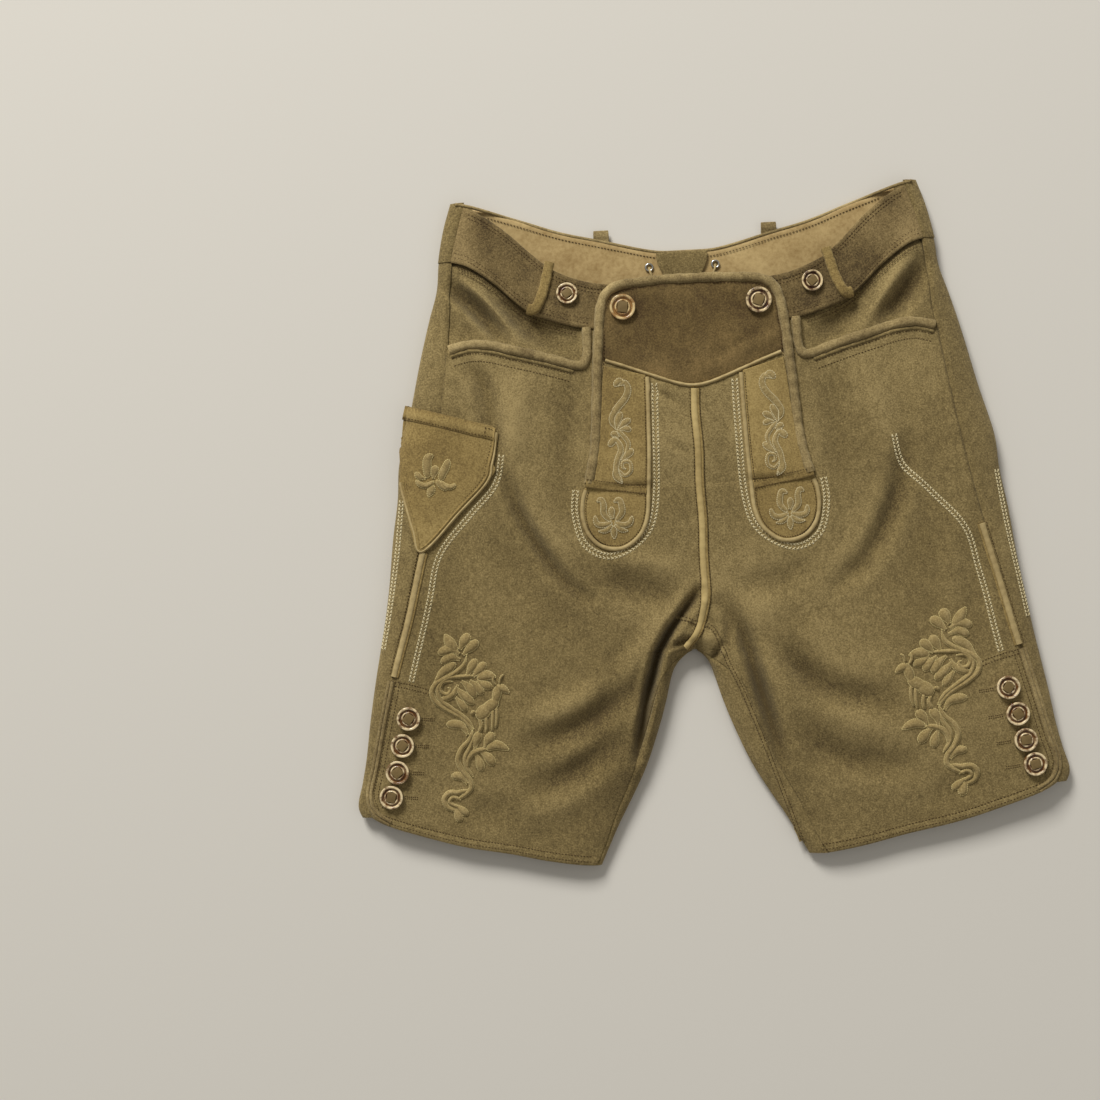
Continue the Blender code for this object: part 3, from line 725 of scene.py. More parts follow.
# a band of slanted stitches either side of a middle line, as on trimmed seams
def herringboneRow(box, points, width, pitch, lift, side=1, liftAt=None):
    count = max(int(routeLength(points) / pitch), 1)
    line = route(mirrored(points, side), count + 1)
    left = sidesOf(line)[:-1] * width / 2
    middle = line[:-1]
    ahead = line[1:] - line[:-1]
    up = liftOver(lift, liftAt, middle[:, 0], middle[:, 1])
    for hand in (1, -1):
        box.add(middle + left * hand, middle + ahead * 0.95 + left * 0.12 * hand, up)
        box.add(middle + left * 0.5 * hand, middle + left * hand + ahead * 0.9, up)


# padded leaves and stems with an outline of fine stitches
class paddedWork:
    def __init__(self, name, material, thread):
        self.name, self.material, self.thread = name, material, thread
        self.points, self.faces, self.total = [], [], 0

    def stroke(self, points, width, kind, lift, height, pitch=1.5, liftAt=None):
        count = max(int(routeLength(points) / 1.2), 7)
        line = route(points, count)
        left = sidesOf(line)
        t = np.linspace(0, 1, count)
        if kind == "leaf":
            half = np.sin(np.pi * t ** 0.85) ** 0.75
        elif kind == "bud":
            half = 0.28 + 0.72 * ease(0, 0.62, t)
            half = half * np.sqrt(1 - np.clip((t - 0.66) / 0.34, 0, 1) ** 2)
        else:
            half = 0.45 + 0.55 * np.sin(np.pi * t) ** 0.6
            half = half * np.clip(np.minimum(t, 1 - t) * 12, 0.15, 1)
        half = half * width / 2
        across = np.array([-1.0, -0.75, -0.4, 0.0, 0.4, 0.75, 1.0])
        x = line[:, :1] + left[:, :1] * across * half[:, None]
        y = line[:, 1:] + left[:, 1:] * across * half[:, None]
        base = liftOver(lift, liftAt, x, y)
        dome = height * (1 - across ** 2) ** 0.7 * (half / (width / 2))[:, None]
        self.points.append(onBody(x, y, base - 0.15 + dome).reshape(-1, 3))
        faces = np.array(gridFaces(count, len(across))) + self.total
        self.faces += faces.tolist()
        self.total += count * len(across)
        steps = max(int(routeLength(points) / pitch), 3)
        for hand in (-1, 1):
            edge = line + left * (half * hand)[:, None]
            fine = route(edge.tolist(), steps + 1)
            starts, ends = fine[:-1], fine[:-1] + (fine[1:] - fine[:-1]) * 0.9
            up = liftOver(lift, liftAt, starts[:, 0], starts[:, 1])
            self.thread.add(starts, ends, up + 0.3)

    def finish(self):
        piece = meshPiece(self.name, placed(np.concatenate(self.points)), self.faces, self.material)
        addAttribute(piece, np.zeros(self.total))
        applyModifier(piece, "SOLIDIFY", thickness=0.25 * mm, offset=-1)
        return finishPiece(piece)


# Motifs of the wearer's right side: kind, width, then the route's points from root to tip.
legMotif = (
    ("stem", 4.2, ((-213, -37), (-216, -47), (-227, -55), (-240, -61), (-246, -69), (-243, -78),
                   (-233, -86), (-221, -93), (-213, -101), (-209, -108))),
    ("stem", 3.4, ((-203, -57), (-217, -57), (-231, -58), (-240, -66), (-238, -77), (-227, -86),
                   (-215, -95), (-208, -105))),
    ("bud", 8.0, ((-243, -62), (-236, -53), (-223, -45))),
    ("stem", 2.8, ((-226, -61), (-234, -61), (-238, -66), (-236, -71), (-231, -72), (-228, -68),
                   (-231, -66))),
    ("bud", 6.5, ((-221, -64), (-226, -72), (-237, -77))),
    ("leaf", 9.5, ((-222, -33), (-228, -28), (-234, -18))),
    ("bud", 9.0, ((-220, -33), (-217, -27), (-212, -19))),
    ("bud", 8.5, ((-217, -38), (-211, -32), (-203, -26))),
    ("bud", 8.0, ((-220, -37), (-228, -32), (-240, -35))),
    ("bud", 7.5, ((-219, -42), (-228, -39), (-237, -44))),
    ("bud", 8.0, ((-213, -57), (-209, -50), (-204, -42))),
    ("bud", 8.0, ((-207, -58), (-202, -52), (-195, -46))),
    ("leaf", 8.5, ((-203, -60), (-195, -57), (-185, -59))),
    ("bud", 7.0, ((-203, -61), (-197, -65), (-189, -68))),
    ("bud", 7.5, ((-210, -61), (-204, -66), (-198, -74))),
    ("bud", 8.0, ((-218, -61), (-211, -67), (-205, -76))),
    ("bud", 7.5, ((-224, -66), (-217, -73), (-207, -82))),
    ("bud", 6.5, ((-224, -75), (-220, -80), (-214, -88))),
    ("bud", 7.8, ((-214, -110), (-220, -101), (-234, -99))),
    ("stem", 4.4, ((-209, -104), (-213, -114), (-221, -122), (-225, -132), (-221, -142), (-215, -150),
                   (-214, -158), (-221, -164), (-229, -168))),
    ("stem", 3.4, ((-209, -112), (-213, -121), (-218, -130), (-217, -139), (-211, -148))),
    ("stem", 4.4, ((-217, -142), (-215, -131), (-208, -125), (-197, -123))),
    ("bud", 8.0, ((-208, -123), (-207, -115), (-202, -108))),
    ("bud", 8.5, ((-199, -122), (-196, -116), (-190, -109))),
    ("leaf", 8.0, ((-197, -124), (-188, -120), (-176, -125))),
    ("bud", 8.5, ((-203, -125), (-197, -130), (-191, -138))),
    ("bud", 7.5, ((-208, -127), (-205, -134), (-203, -143))),
    ("bud", 7.0, ((-217, -154), (-223, -147), (-232, -146))),
    ("stem", 4.4, ((-217, -159), (-226, -161), (-235, -161), (-240, -167), (-237, -174), (-229, -178))),
    ("stem", 2.8, ((-224, -168), (-231, -165), (-235, -169), (-230, -173), (-226, -174))),
    ("bud", 8.0, ((-232, -174), (-228, -180), (-226, -188))),
    ("bud", 6.5, ((-230, -172), (-224, -177), (-218, -182))),
)
# A standing deer, plain and general.
deerMotif = (
    ("bud", 12.0, ((-187, -82), (-195, -87), (-205, -95))),
    ("bud", 10.0, ((-204, -92), (-194, -86), (-184, -80))),
    ("bud", 8.0, ((-188, -88), (-186, -78), (-183, -67))),
    ("leaf", 6.5, ((-186, -68), (-180, -69), (-173, -74))),
    ("stem", 1.8, ((-185, -67), (-188, -62), (-187, -57))),
    ("stem", 1.8, ((-182, -66), (-181, -60), (-178, -57))),
    ("stem", 3.2, ((-203, -96), (-201, -102), (-204, -108))),
    ("stem", 2.8, ((-197, -94), (-196, -101), (-197, -108))),
    ("stem", 2.8, ((-190, -88), (-190, -98), (-191, -107))),
    ("stem", 2.6, ((-186, -86), (-186, -96), (-188, -105))),
    ("bud", 3.0, ((-205, -91), (-208, -89), (-210, -92))),
)
stripMotif = (
    ("stem", 5.8, ((-70, 195), (-64, 198), (-61, 192), (-64, 184), (-72, 175), (-77, 166), (-74, 157))),
    ("bud", 5.5, ((-63, 196), (-68, 200), (-73, 195))),
    ("bud", 6.0, ((-73, 156), (-72, 164), (-68, 172))),
    ("bud", 5.5, ((-71, 157), (-66, 162), (-60, 165))),
    ("bud", 5.0, ((-70, 156), (-65, 157), (-60, 155))),
    ("stem", 3.6, ((-73, 157), (-67, 150), (-63, 143), (-66, 134))),
    ("stem", 4.8, ((-77, 150), (-72, 145), (-70, 138), (-74, 128), (-75, 118), (-70, 109))),
    ("bud", 5.8, ((-70, 144), (-75, 147), (-81, 142))),
    ("bud", 5.0, ((-71, 149), (-75, 153), (-78, 151))),
    ("bud", 6.2, ((-70, 128), (-65, 133), (-59, 138))),
    ("stem", 2.6, ((-73, 121), (-68, 115), (-62, 119), (-63, 127), (-69, 127), (-69, 122), (-66, 121))),
    ("leaf", 4.6, ((-75, 124), (-76, 115), (-70, 108))),
)
# The padded sprig on the knife pocket.
pocketMotif = (
    ("stem", 7.4, ((-243, 122), (-242.5, 128), (-242.5, 134), (-241.5, 140), (-236.5, 142.5))),
    ("stem", 6.8, ((-231.5, 119), (-229.5, 125), (-226, 131), (-223, 138))),
    ("bud", 6.8, ((-237.5, 121), (-236.5, 127), (-234.5, 133))),
    ("bud", 5.0, ((-244, 122), (-249, 123), (-253, 128))),
    ("stem", 4.6, ((-237, 119), (-243, 115.5), (-249, 116.5), (-253, 121))),
    ("stem", 4.4, ((-235, 120), (-231.5, 115), (-226, 110.5))),
    ("stem", 4.6, ((-232, 118.5), (-227, 114), (-222, 113), (-218, 115.5))),
    ("leaf", 6.4, ((-237, 115), (-240, 111), (-243, 105))),
)
lilyMotif = (
    ("stem", 5.0, ((-2, -1), (-8, 6), (-8, 14), (-10, 19), (-14, 17))),
    ("stem", 5.0, ((2, -1), (8, 6), (8, 13), (6, 18), (1, 16))),
    ("bud", 5.2, ((0, 1), (-1, 6), (-1, 12))),
    ("stem", 4.6, ((-1, -2), (-9, -4), (-15, -2), (-16, 5))),
    ("stem", 4.6, ((1, -2), (9, -5), (15, -3), (17, 3))),
    ("leaf", 4.2, ((-1, -4), (-7, -9), (-14, -9))),
    ("leaf", 4.2, ((1, -4), (7, -9), (13, -10))),
    ("leaf", 5.4, ((0, -5), (0, -10), (0, -17))),
)


def drawMotif(work, motif, centre, lift, height, liftAt=None):
    for kind, width, points in motif:
        moved = [(centre[0] + u, centre[1] + v) for u, v in points]
        work.stroke(moved, width, kind, lift, height, liftAt=liftAt)


flapEdgeTable = tuple((y, x) for x, y in flapRim[:6])
pocketLine = (
    (90, 260), (95, 228), (100, 217), (106, 216.5), (120, 221), (140, 227), (160, 232.5),
    (180, 238), (200, 240), (218, 236), (228, 233),
)
seamStations = dict(legRows=92, hipRows=114, columns=116)


# 1 where the front runs on beneath the flap, 0 elsewhere
def underFlap(x, y):
    reach = along(flapEdgeTable, y) - np.abs(x)
    return ease(-2, 5, reach) * ease(103, 111, y)


# top of the flap over the fronts: it runs level into them at its foot, between the strips
def flapLift(x, y):
    middle = -0.5 + 3.5 * ease(102, 150, y)
    sides = -0.5 + 3.5 * ease(102, 112, y)
    near = ease(36, 52, np.abs(x))
    return middle * (1 - near) + sides * near


# underside of what crosses the flap's foot
def stripLift(x, y):
    return laid["gap"] + np.where(y > 106, np.maximum(flapLift(x, y), 0), 0)


# how far the pocket's inner piece lies below the front, above the welt
def pocketDepth(x, y):
    line = along(pocketLine, np.abs(x))
    return 2.6 * ease(-2, 3.5, y - line) * ease(96, 100, np.abs(x))


def stationY(x, station, topEdge, room=1.0):
    end = np.where(station > 0, along(topEdge, x) - room, along(hem, x))
    start = laid["crotchY"] + 0.3
    return start + (end - start) * np.abs(station)


def fixedPoint(line, station, topEdge, guess, room=1.0):
    x = np.full(np.shape(station), float(guess))
    for _ in range(10):
        x = along(line, stationY(x, station, topEdge, room))
    return x


def stationsOf(legRows, hipRows):
    leg = -np.linspace(1, 0.03, legRows) ** 1.4
    hip = np.linspace(0, 1, hipRows)
    return np.concatenate([leg, hip])


# the inside seam, which the wearer's left leg is turned a little to show
def inseamAt(side, station):
    line = fixedPoint(inseam, station, frontBandSeam, 60, -3)
    return line + (10 if side > 0 else 0) * ease(0.02, 0.2, -station)


crotchFold = (
    (-8, 4), (-18, -9), (-27, -24), (-34, -43), (-36, -60), (-41, -78), (-47, -100), (-52, -122),
)


def frontPanel(label, side):
    station = stationsOf(seamStations["legRows"], seamStations["hipRows"])
    columns = seamStations["columns"]
    seam = fixedPoint(sideSeam, station, frontBandSeam, 260, -3)
    inner = np.where(station < 0, inseamAt(side, station) + 0.6, 0.02)
    t = np.linspace(0, 1, columns)
    share = 0.7 * t + 0.3 * (1 - np.cos(np.pi * t)) / 2
    x = seam[:, None] + (inner - seam)[:, None] * share[None]
    y = stationY(x, station[:, None], frontBandSeam, -3)
    toBand = along(frontBandSeam, x) - y
    toHem = y - along(hem, x)
    lift = -1.6 * ease(2, -2, toBand) - 2.4 * underFlap(x, y) - pocketDepth(x, y)
    lift -= 0.7 * ridge(seam[:, None] - x, 1.3)
    turned = ease(11, 8.5, toHem)
    lift += 0.5 * turned - 0.5 * ridge(toHem - 9.5, 1.1) - 0.8 * ease(2.2, 0, toHem)
    grid = onBody(x * side, y, lift)
    # relief for the suede: painted shade in the crease troughs and painted highlight on their ridges and
    # ripples, then slow lighter and darker zones
    relief = np.clip(creaseAt(x * side, y) / 7 + 0.2 * rippleAt(x, y), -0.9, 0.6)
    relief += 0.35 * patch(x, y, 70, 130, 62, 95)
    relief += 0.3 * ease(48, 36, x) * ease(96, 130, y)
    relief += 0.2 * patch(x, y, 165, 190, 50, 60)
    relief -= 0.25 * patch(x, y, 60, -110, 50, 80)
    # a painted highlight on the ridge by the crotch, on the wearer's left
    relief += 0.4 * (side > 0) * patch(x, y, 11, -36, 7, 9)
    # painted shade in the deep crease from the crotch down the right leg
    if side < 0:
        relief -= 0.7 * ridge(distanceTo(crotchFold, -x, y)[0], 3.0)
    # the turned hem a little lighter, and painted shade in the side seam's groove
    relief += 0.15 * turned - 0.9 * ridge(seam[:, None] - x, 1.6)
    # painted shade at the foot of the waistband and along the hem's fold line
    relief -= 0.8 * ridge(toBand, 1.8) + 0.35 * ridge(toHem - 9.5, 1.2)
    # painted shade in two lines under the pocket welt
    weltFoot = y - along(pocketLine, x) + 4.6
    relief -= 0.9 * ridge(weltFoot, 1.2) * ease(94, 100, x)
    relief -= 0.5 * ridge(weltFoot + 3.4, 1.0) * ease(94, 100, x)
    lift = 0.6 * ridge(weltFoot + 1.8, 1.3) * ease(94, 100, x)
    grid = grid + np.stack([0 * lift, 0 * lift, lift], axis=-1)
    return grid, relief


def backRing(side, station):
    seam = fixedPoint(sideSeam, station, frontBandSeam, 260, -3)
    ySide = stationY(seam, station, frontBandSeam, -3)
    edge = along(outerEdge, ySide)
    parts = []
    start = seam - 1.6
    for share in np.sin(np.linspace(0, 1, 12)[:-1] * np.pi / 2):
        x = start + (edge - start) * share
        top = onBody(x * side, ySide, -1.5 * ease(0.9, -1.6, x - seam))
        parts.append(np.stack([top[:, 0], ySide, top[:, 2]], axis=-1))
    drop = laid["edgeShare"] * along(crown, ySide)
    for share in np.linspace(0, 1, 8):
        angle = share * np.pi / 2
        parts.append(np.stack([(edge - laid["floorRound"] * (1 - np.cos(angle))) * side, ySide,
                               drop * (1 - np.sin(angle))], axis=-1))
    begin = edge - laid["floorRound"]
    inSeam = inseamAt(side, station)
    yIn = stationY(inSeam, station, frontBandSeam, -3)
    innerEdgeX = np.where(station < 0, along(innerEdge, yIn), 0.0)
    innerEnd = innerEdgeX + laid["floorRound"]
    for share in np.linspace(0, 1, 16)[1:]:
        x = begin + (innerEnd - begin) * share
        y = stationY(x, station, backBandSeam)
        parts.append(np.stack([x * side, y, np.zeros_like(x)], axis=-1))
    leg = (station < 0)[:, None]
    dropIn = laid["edgeShare"] * along(crown, yIn)
    crotchEdge = laid["edgeShare"] * along(crown, np.array(laid["crotchY"]))
    climb = (crotchEdge - 2.6) * (1 - ease(0, 0.12, station))

    # the same share of the way to the centre seam, where the panel has no leg
    def hipPoint(share):
        x = innerEnd * (1 - share)
        y = stationY(x, station, backBandSeam)
        return np.stack([(x + 0.15 * share) * side, y, climb * share ** 1.5], axis=-1)

    for k, share in enumerate(np.linspace(1, 0, 7)[1:]):
        angle = share * np.pi / 2
        x = innerEdgeX + laid["floorRound"] * (1 - np.cos(angle))
        legPoint = np.stack([x * side, yIn, dropIn * (1 - np.sin(angle))], axis=-1)
        parts.append(np.where(leg, legPoint, hipPoint((k + 1) / 10)))
    for k, share in enumerate((0.3, 0.6, 0.85, 1.0)):
        x = innerEdgeX + (inSeam + 1.2 - innerEdgeX) * share
        top = onBody(x * side, yIn, -1.3 * ease(-1, 1.2, x - inSeam))
        legPoint = np.stack([top[:, 0], yIn, top[:, 2]], axis=-1)
        parts.append(np.where(leg, legPoint, hipPoint((k + 7) / 10)))
    return np.stack(parts, axis=1)


# the width and length of a panel laid flat, from the longest lines of its grid
def flatOf(grid):
    points = placed(grid)
    across = np.linalg.norm(np.diff(points, axis=1), axis=-1).sum(axis=1).max()
    down = np.linalg.norm(np.diff(points, axis=0), axis=-1).sum(axis=0).max()
    return (round(float(across), 3) + 0.001, round(float(down), 3) + 0.001)


flats = {}


def addSheet(name, grid, thickness, material, flip, relief=None):
    return sheetPiece(name + "_suede", grid, thickness, material, [name], flip, relief)


halves = (("right", -1), ("left", 1))
for label, side in halves:
    grid, relief = frontPanel(label, side)
    addSheet("front_" + label, grid, laid["leather"], suede, side > 0, relief)
    ring = backRing(side, stationsOf(62, 84))
    addSheet("back_" + label, ring, laid["leather"], suede, side < 0)
print("fronts and backs made")


# patches: spots of painted shade, as x, y and reach, where the band dips by the belt loop
band = dict(rows=18, columns=86, patches={
    -1: ((183, 334, 13), (150, 302, 15), (118, 276, 12)),
    1: ((190, 342, 12), (158, 306, 16), (104, 264, 12)),
})


def frontBandGrid(side):
    t = np.linspace(0, 1, band["rows"])
    up = (0.6 * t + 0.4 * (1 - np.cos(np.pi * t)) / 2)[:, None]
    share = np.linspace(0, 1, band["columns"])[None]
    seam = 213 - 14 * up
    x = seam + (0.1 - seam) * share
    low = along(frontBandSeam, x) + 0.2
    high = along(frontBandTop, x)
    y = low + (high - low) * up
    fromFoot, fromTop = y - low, high - y
    lift = 1.0 + 0.5 * ridge(fromFoot - 2.2, 1.8) - 0.9 * ease(1.6, 0, fromFoot)
    lift += 0.3 * ridge(fromTop - 2.5, 2.0) - 0.9 * ease(2.0, 0, fromTop)
    lift -= 0.35 * ridge(fromFoot - 5.5, 1.0) + 0.3 * ridge(fromTop - 5.5, 1.0)
    pucker = 0.35 * np.sin(x / 3.1 + 0.8 * np.sin(x / 9)) * ridge(fromFoot, 7)
    pucker += 0.3 * np.sin(x / 2.7 + 1 + 0.9 * np.sin(x / 11)) * ridge(fromTop, 6)
    grid = onBody(x * side, y, lift + pucker * 0.6)
    # relief: painted highlight on the crests of the puckers and painted shade in their hollows, darker
    # towards the centre
    relief = pucker * 0.7 + 0.45 * rippleAt(x * 2 * side, y * 2) - 0.15 - 0.35 * ease(160, 120, x)
    # painted highlight on the roll at the band's foot and on its outer end, where it folds round
    relief += 0.25 * ridge(fromFoot - 2.4, 2.0) + 0.7 * ease(176, 202, x)
    # painted shade in the spots by the belt loop
    for px, py, reach in band["patches"][side]:
        relief -= 0.6 * patch(x, y, px, py, reach, reach * 1.2)
    relief = np.clip(relief, -1, 1)
    return grid, relief


for label, side in halves:
    grid, relief = frontBandGrid(side)
    addSheet("waistband_front_" + label, grid, laid["bandWall"], bandSuede, side > 0, relief)


def backBandRow(up):
    half = []
    seam = 213 - 14 * up
    ySide = 316 + 53 * up
    edge = float(along(outerEdge, ySide))
    for share in np.sin(np.linspace(0, 0.9, 8) * np.pi / 2):
        x = seam - 1.0 + (edge - seam + 1.0) * share
        top = onBody(x, ySide, 0.9 - 1.2 * ease(0.6, -1.0, x - seam))
        half.append((float(top[0]), ySide, float(top[2])))
    drop = laid["edgeShare"] * float(along(crown, ySide))
    for share in np.linspace(0, 1, 8):
        angle = share * math.pi / 2
        half.append((edge + 0.4 - laid["floorRound"] * (1 - math.cos(angle)), ySide,
                     drop * (1 - math.sin(angle))))
    start = edge - laid["floorRound"]
    for share in np.linspace(0, 1, 22)[1:]:
        x = start * (1 - share)
        low = float(along(backBandSeam, x)) + 1
        half.append((x, low + (float(along(backBandTop, x)) - low) * up, 0.0))
    return half + [(-x, y, z) for x, y, z in reversed(half[:-1])]


addSheet("waistband_back", np.array([backBandRow(up) for up in np.linspace(0, 1, 10)]),
         laid["bandWall"], suede, False)

facing = dict(halfWidth=191, wall=1.2, floor=2.9, hemRoll=0.5, sideRise=2.2, stitchHeight=4.8)


def facingGrid():
    x = facing["halfWidth"] * np.linspace(1, -1, 121)[None]
    up = np.linspace(0, 1, 20)[:, None]
    low = along(backBandSeam, np.abs(x)) + 2
    high = along(backBandTop, np.abs(x)) - 0.6
    y = low + (high - low) * up
    z = facing["floor"] + facing["wall"] + 0.35 * rippleAt(x * 1.6, y * 2.2)
    z = z + facing["hemRoll"] * ridge(high - y - 3.0, 2.2) - 0.8 * ease(1.6, 0, high - y)
    z = z + facing["sideRise"] * ease(120, 190, np.abs(x))
    return np.stack([np.broadcast_to(x, y.shape), y, z], axis=-1)


backTop = [(float(x), float(along(backBandTop, abs(x))) - 1.0) for x in np.linspace(-206, 206, 60)]
addSheet("waistband_facing", facingGrid(), facing["wall"], liningTan, True)
print("waistband made")


flap = dict(columns=46, rows=56, rimWidth=9.2, rimThick=5.2, seamDip=0.9)


def flapHalfGrid(side):
    up = np.linspace(0, 1, flap["rows"])[:, None]
    reach = along(flapEdgeTable, 102 + (215 - 102) * up) - 3.6
    share = np.linspace(0, 1, flap["columns"])[None]
    x = reach * (1 - share) + 0.02 * share
    seam = along(yokeSeam, x) - 0.1
    y = 102 + (seam - 102) * up
    lift = flapLift(x, y) - flap["seamDip"] * ridge(seam - y, 1.4)
    lift -= 0.6 * ridge(x, 1.6) * ease(110, 150, y)
    grid = onBody(x * side, y, lift)
    # relief: painted shade in the crease troughs and painted highlight on their ridges, with slow lighter
    # zones
    relief = np.clip(creaseAt(x * side, y) / 6 + 0.2 * rippleAt(x * side, y), -1, 1)
    relief += 0.35 * patch(x, y, 70, 130, 62, 95)
    relief += 0.3 * ease(48, 36, x) * ease(96, 130, y)
    # painted shade along the dip at the yoke seam
    relief -= 0.8 * ridge(seam - y, 2.0)
    return grid, relief


yokeFolds = (
    (((76, 246), (52, 234), (24, 222)), 1.3, 6), (((72, 234), (46, 222), (16, 208)), -0.9, 6),
    (((-66, 250), (-58, 232), (-50, 220)), 0.8, 5), (((-20, 276), (-10, 256), (-14, 238)), -0.6, 9),
    (((-44, 268), (-36, 248), (-30, 226)), 0.7, 7), (((26, 280), (34, 264), (52, 256)), 0.6, 6),
)


rimLine = list(flapRim) + [(-x, y) for x, y in reversed(flapRim[:-1])]


def yokeGrid():
    up = np.linspace(0, 1, 36)[:, None]
    half = np.linspace(1, 0, 40)[None]
    x = (84 - 8 * up) * half
    low = along(yokeSeam, x)
    high = along(yokeTop, x) + 1
    y = low + (high - low) * up
    x = np.concatenate([x, -x[:, -2::-1]], axis=1)
    y = np.concatenate([y, y[:, -2::-1]], axis=1)
    fromSeam = y - np.concatenate([low, low[:, -2::-1]], axis=1)
    lift = laid["flapTop"] - 0.7 * ridge(fromSeam, 1.6)
    soft = 0.9 * np.sin(x / 17 + 0.7 * np.sin(y / 15)) * np.sin(y / 12 + x / 40 + 1.0)
    soft += 0.8 * patch(x, y, 40, 232, 22, 16)
    soft -= 0.9 * patch(x, y, -22, 262, 26, 10)
    for line, depth, reach in yokeFolds:
        soft = soft - depth * ridge(distanceTo(line, x, y)[0], reach)
    # painted shade in a groove inside the rim; the tone also follows the soft folds, with painted highlight
    # where they rise and painted shade where they sink
    groove = ridge(distanceTo(rimLine, x, y)[0] - 4.4, 1.5)
    return onBody(x, y, lift + soft * 0.7), np.clip(soft * 0.3 + 0.05 - 0.9 * groove, -1, 1)


for label, side in halves:
    grid, relief = flapHalfGrid(side)
    addSheet("flap_" + label, grid, laid["leather"], suede, side > 0, relief)
grid, relief = yokeGrid()
addSheet("flap_yoke", grid, laid["leather"], yokeSuede, True, relief)

strapPiece("flap_rim_rolled", rimLine, flap["rimWidth"], 0.8, flap["rimThick"], 300, rimSuede,
           ["flap_rim"], power=2.1, uneven=0.08)
yokeRoute = [(min(x, 79), y if x < 80 else 219) for x, y in reversed(yokeSeam)]
yokeRoute += [(-x, y) for x, y in reversed(yokeRoute[:-1])]


def offsetRoute(points, away, count=60):
    line = route(points, count)
    return (line + sidesOf(line) * away).tolist()


strapPiece("yoke_piping_cord", yokeRoute, 3.2, laid["flapTop"] - 0.3, 2.4, 150, tanTrim,
           ["yoke_piping"], power=2.0, uneven=0.09)


# a flat piece lying on the body between two edges, both given from top to foot
def edgedPatch(name, outer, inner, counts, lift, thickness, material, nodes, side, liftAt=None,
               bulge=0.0, roll=0.0):
    rows, columns = counts
    left = route(mirrored(outer, side), rows)
    right = route(mirrored(inner, side), rows)
    share = np.linspace(0, 1, columns)[None, :, None]
    flat = left[:, None] + (right - left)[:, None] * share
    x, y = flat[..., 0], flat[..., 1]
    crosswise = np.sin(np.pi * share[..., 0])
    lengthwise = np.sin(np.pi * np.linspace(0, 1, rows)[:, None])
    soft = bulge * crosswise ** 0.6 + roll * lengthwise ** 0.7
    grid = onBody(x, y, liftOver(lift, liftAt, x, y) + thickness + soft)
    relief = np.clip(0.3 * rippleAt(x * 1.5, y * 1.5), -1, 1) + 0.2
    # a rolled edge gets a painted highlight along its crest and painted shade at its top and foot
    relief += roll * (0.75 * lengthwise - 0.45)
    return sheetPiece(name, grid, thickness, material, nodes, side < 0, relief)


tongueBar = ((101.5, 110.5), (84, 107), (66, 104), (48, 101))


def footLift(x, y):
    return laid["gap"] + np.maximum(flapLift(x, y), 0)


strip = dict(
    outer=((80.5, 214), (83, 195), (86, 165), (90, 135), (95.5, 106)),
    inner=((43.5, 204), (44, 185), (45, 160), (46, 135), (47, 106)),
    thickness=1.5, bulge=0.5,
)
tongue = dict(
    outer=((103, 106), (105, 88), (103, 74), (97, 62), (87, 54), (79, 51.5)),
    inner=((47.5, 106), (49, 88), (51, 74), (57, 62), (67, 54), (76, 51.5)),
    thickness=1.5, bulge=0.4,
)
for label, side in halves:
    edgedPatch("flap_strip_" + label + "_suede", strip["outer"], strip["inner"], (70, 26), 0.0,
               strip["thickness"], trimSuede, ["flap_strip_" + label], side, flapLift, strip["bulge"])
    edgedPatch("flap_tongue_" + label + "_suede", tongue["outer"], tongue["inner"], (40, 32), 0.0,
               tongue["thickness"], trimSuede, ["flap_tongue_" + label], side, bulge=tongue["bulge"])
    strapPiece("strip_piping_" + label + "_edge", stripPiping, 4.0, 0.3, 2.4, 190, tanTrim,
               ["strip_piping_" + label], side, 2.4, stripLift, 0.05)
    strapPiece("tongue_bar_" + label, tongueBar, 8.4, 0.8, 2.3, 80, trimSuede, (), side, 3.4,
               footLift, 0.05)
print("drop front made")


knife = dict(
    outer=((262, 182), (265, 160), (266.5, 130), (267, 112), (257, 60)),
    inner=((177.5, 160), (180, 150), (184, 133), (188, 118), (249, 56)),
    mouthOuter=((260.5, 189), (264, 176.5)), mouthInner=((178, 164), (181, 151.5)),
    lift=0.9, thickness=1.7, bulge=1.1,
    mouthLift=1.5, mouthThickness=2.0, mouthBulge=0.2, mouthRoll=1.5,
)
knifeEdge = ((178, 160), (181, 148), (185, 132), (190, 116), (216, 90), (251, 57), (258, 76),
             (266, 112), (266.5, 120))
edgedPatch("knife_pocket_suede", knife["outer"], knife["inner"], (60, 50), knife["lift"],
           knife["thickness"], trimSuede, ["knife_pocket_bag"], -1, bulge=knife["bulge"])
edgedPatch("knife_pocket_mouth_suede", knife["mouthOuter"], knife["mouthInner"], (20, 60),
           knife["mouthLift"], knife["mouthThickness"], trimSuede, ["knife_pocket_mouth"], -1,
           bulge=knife["mouthBulge"], roll=knife["mouthRoll"])
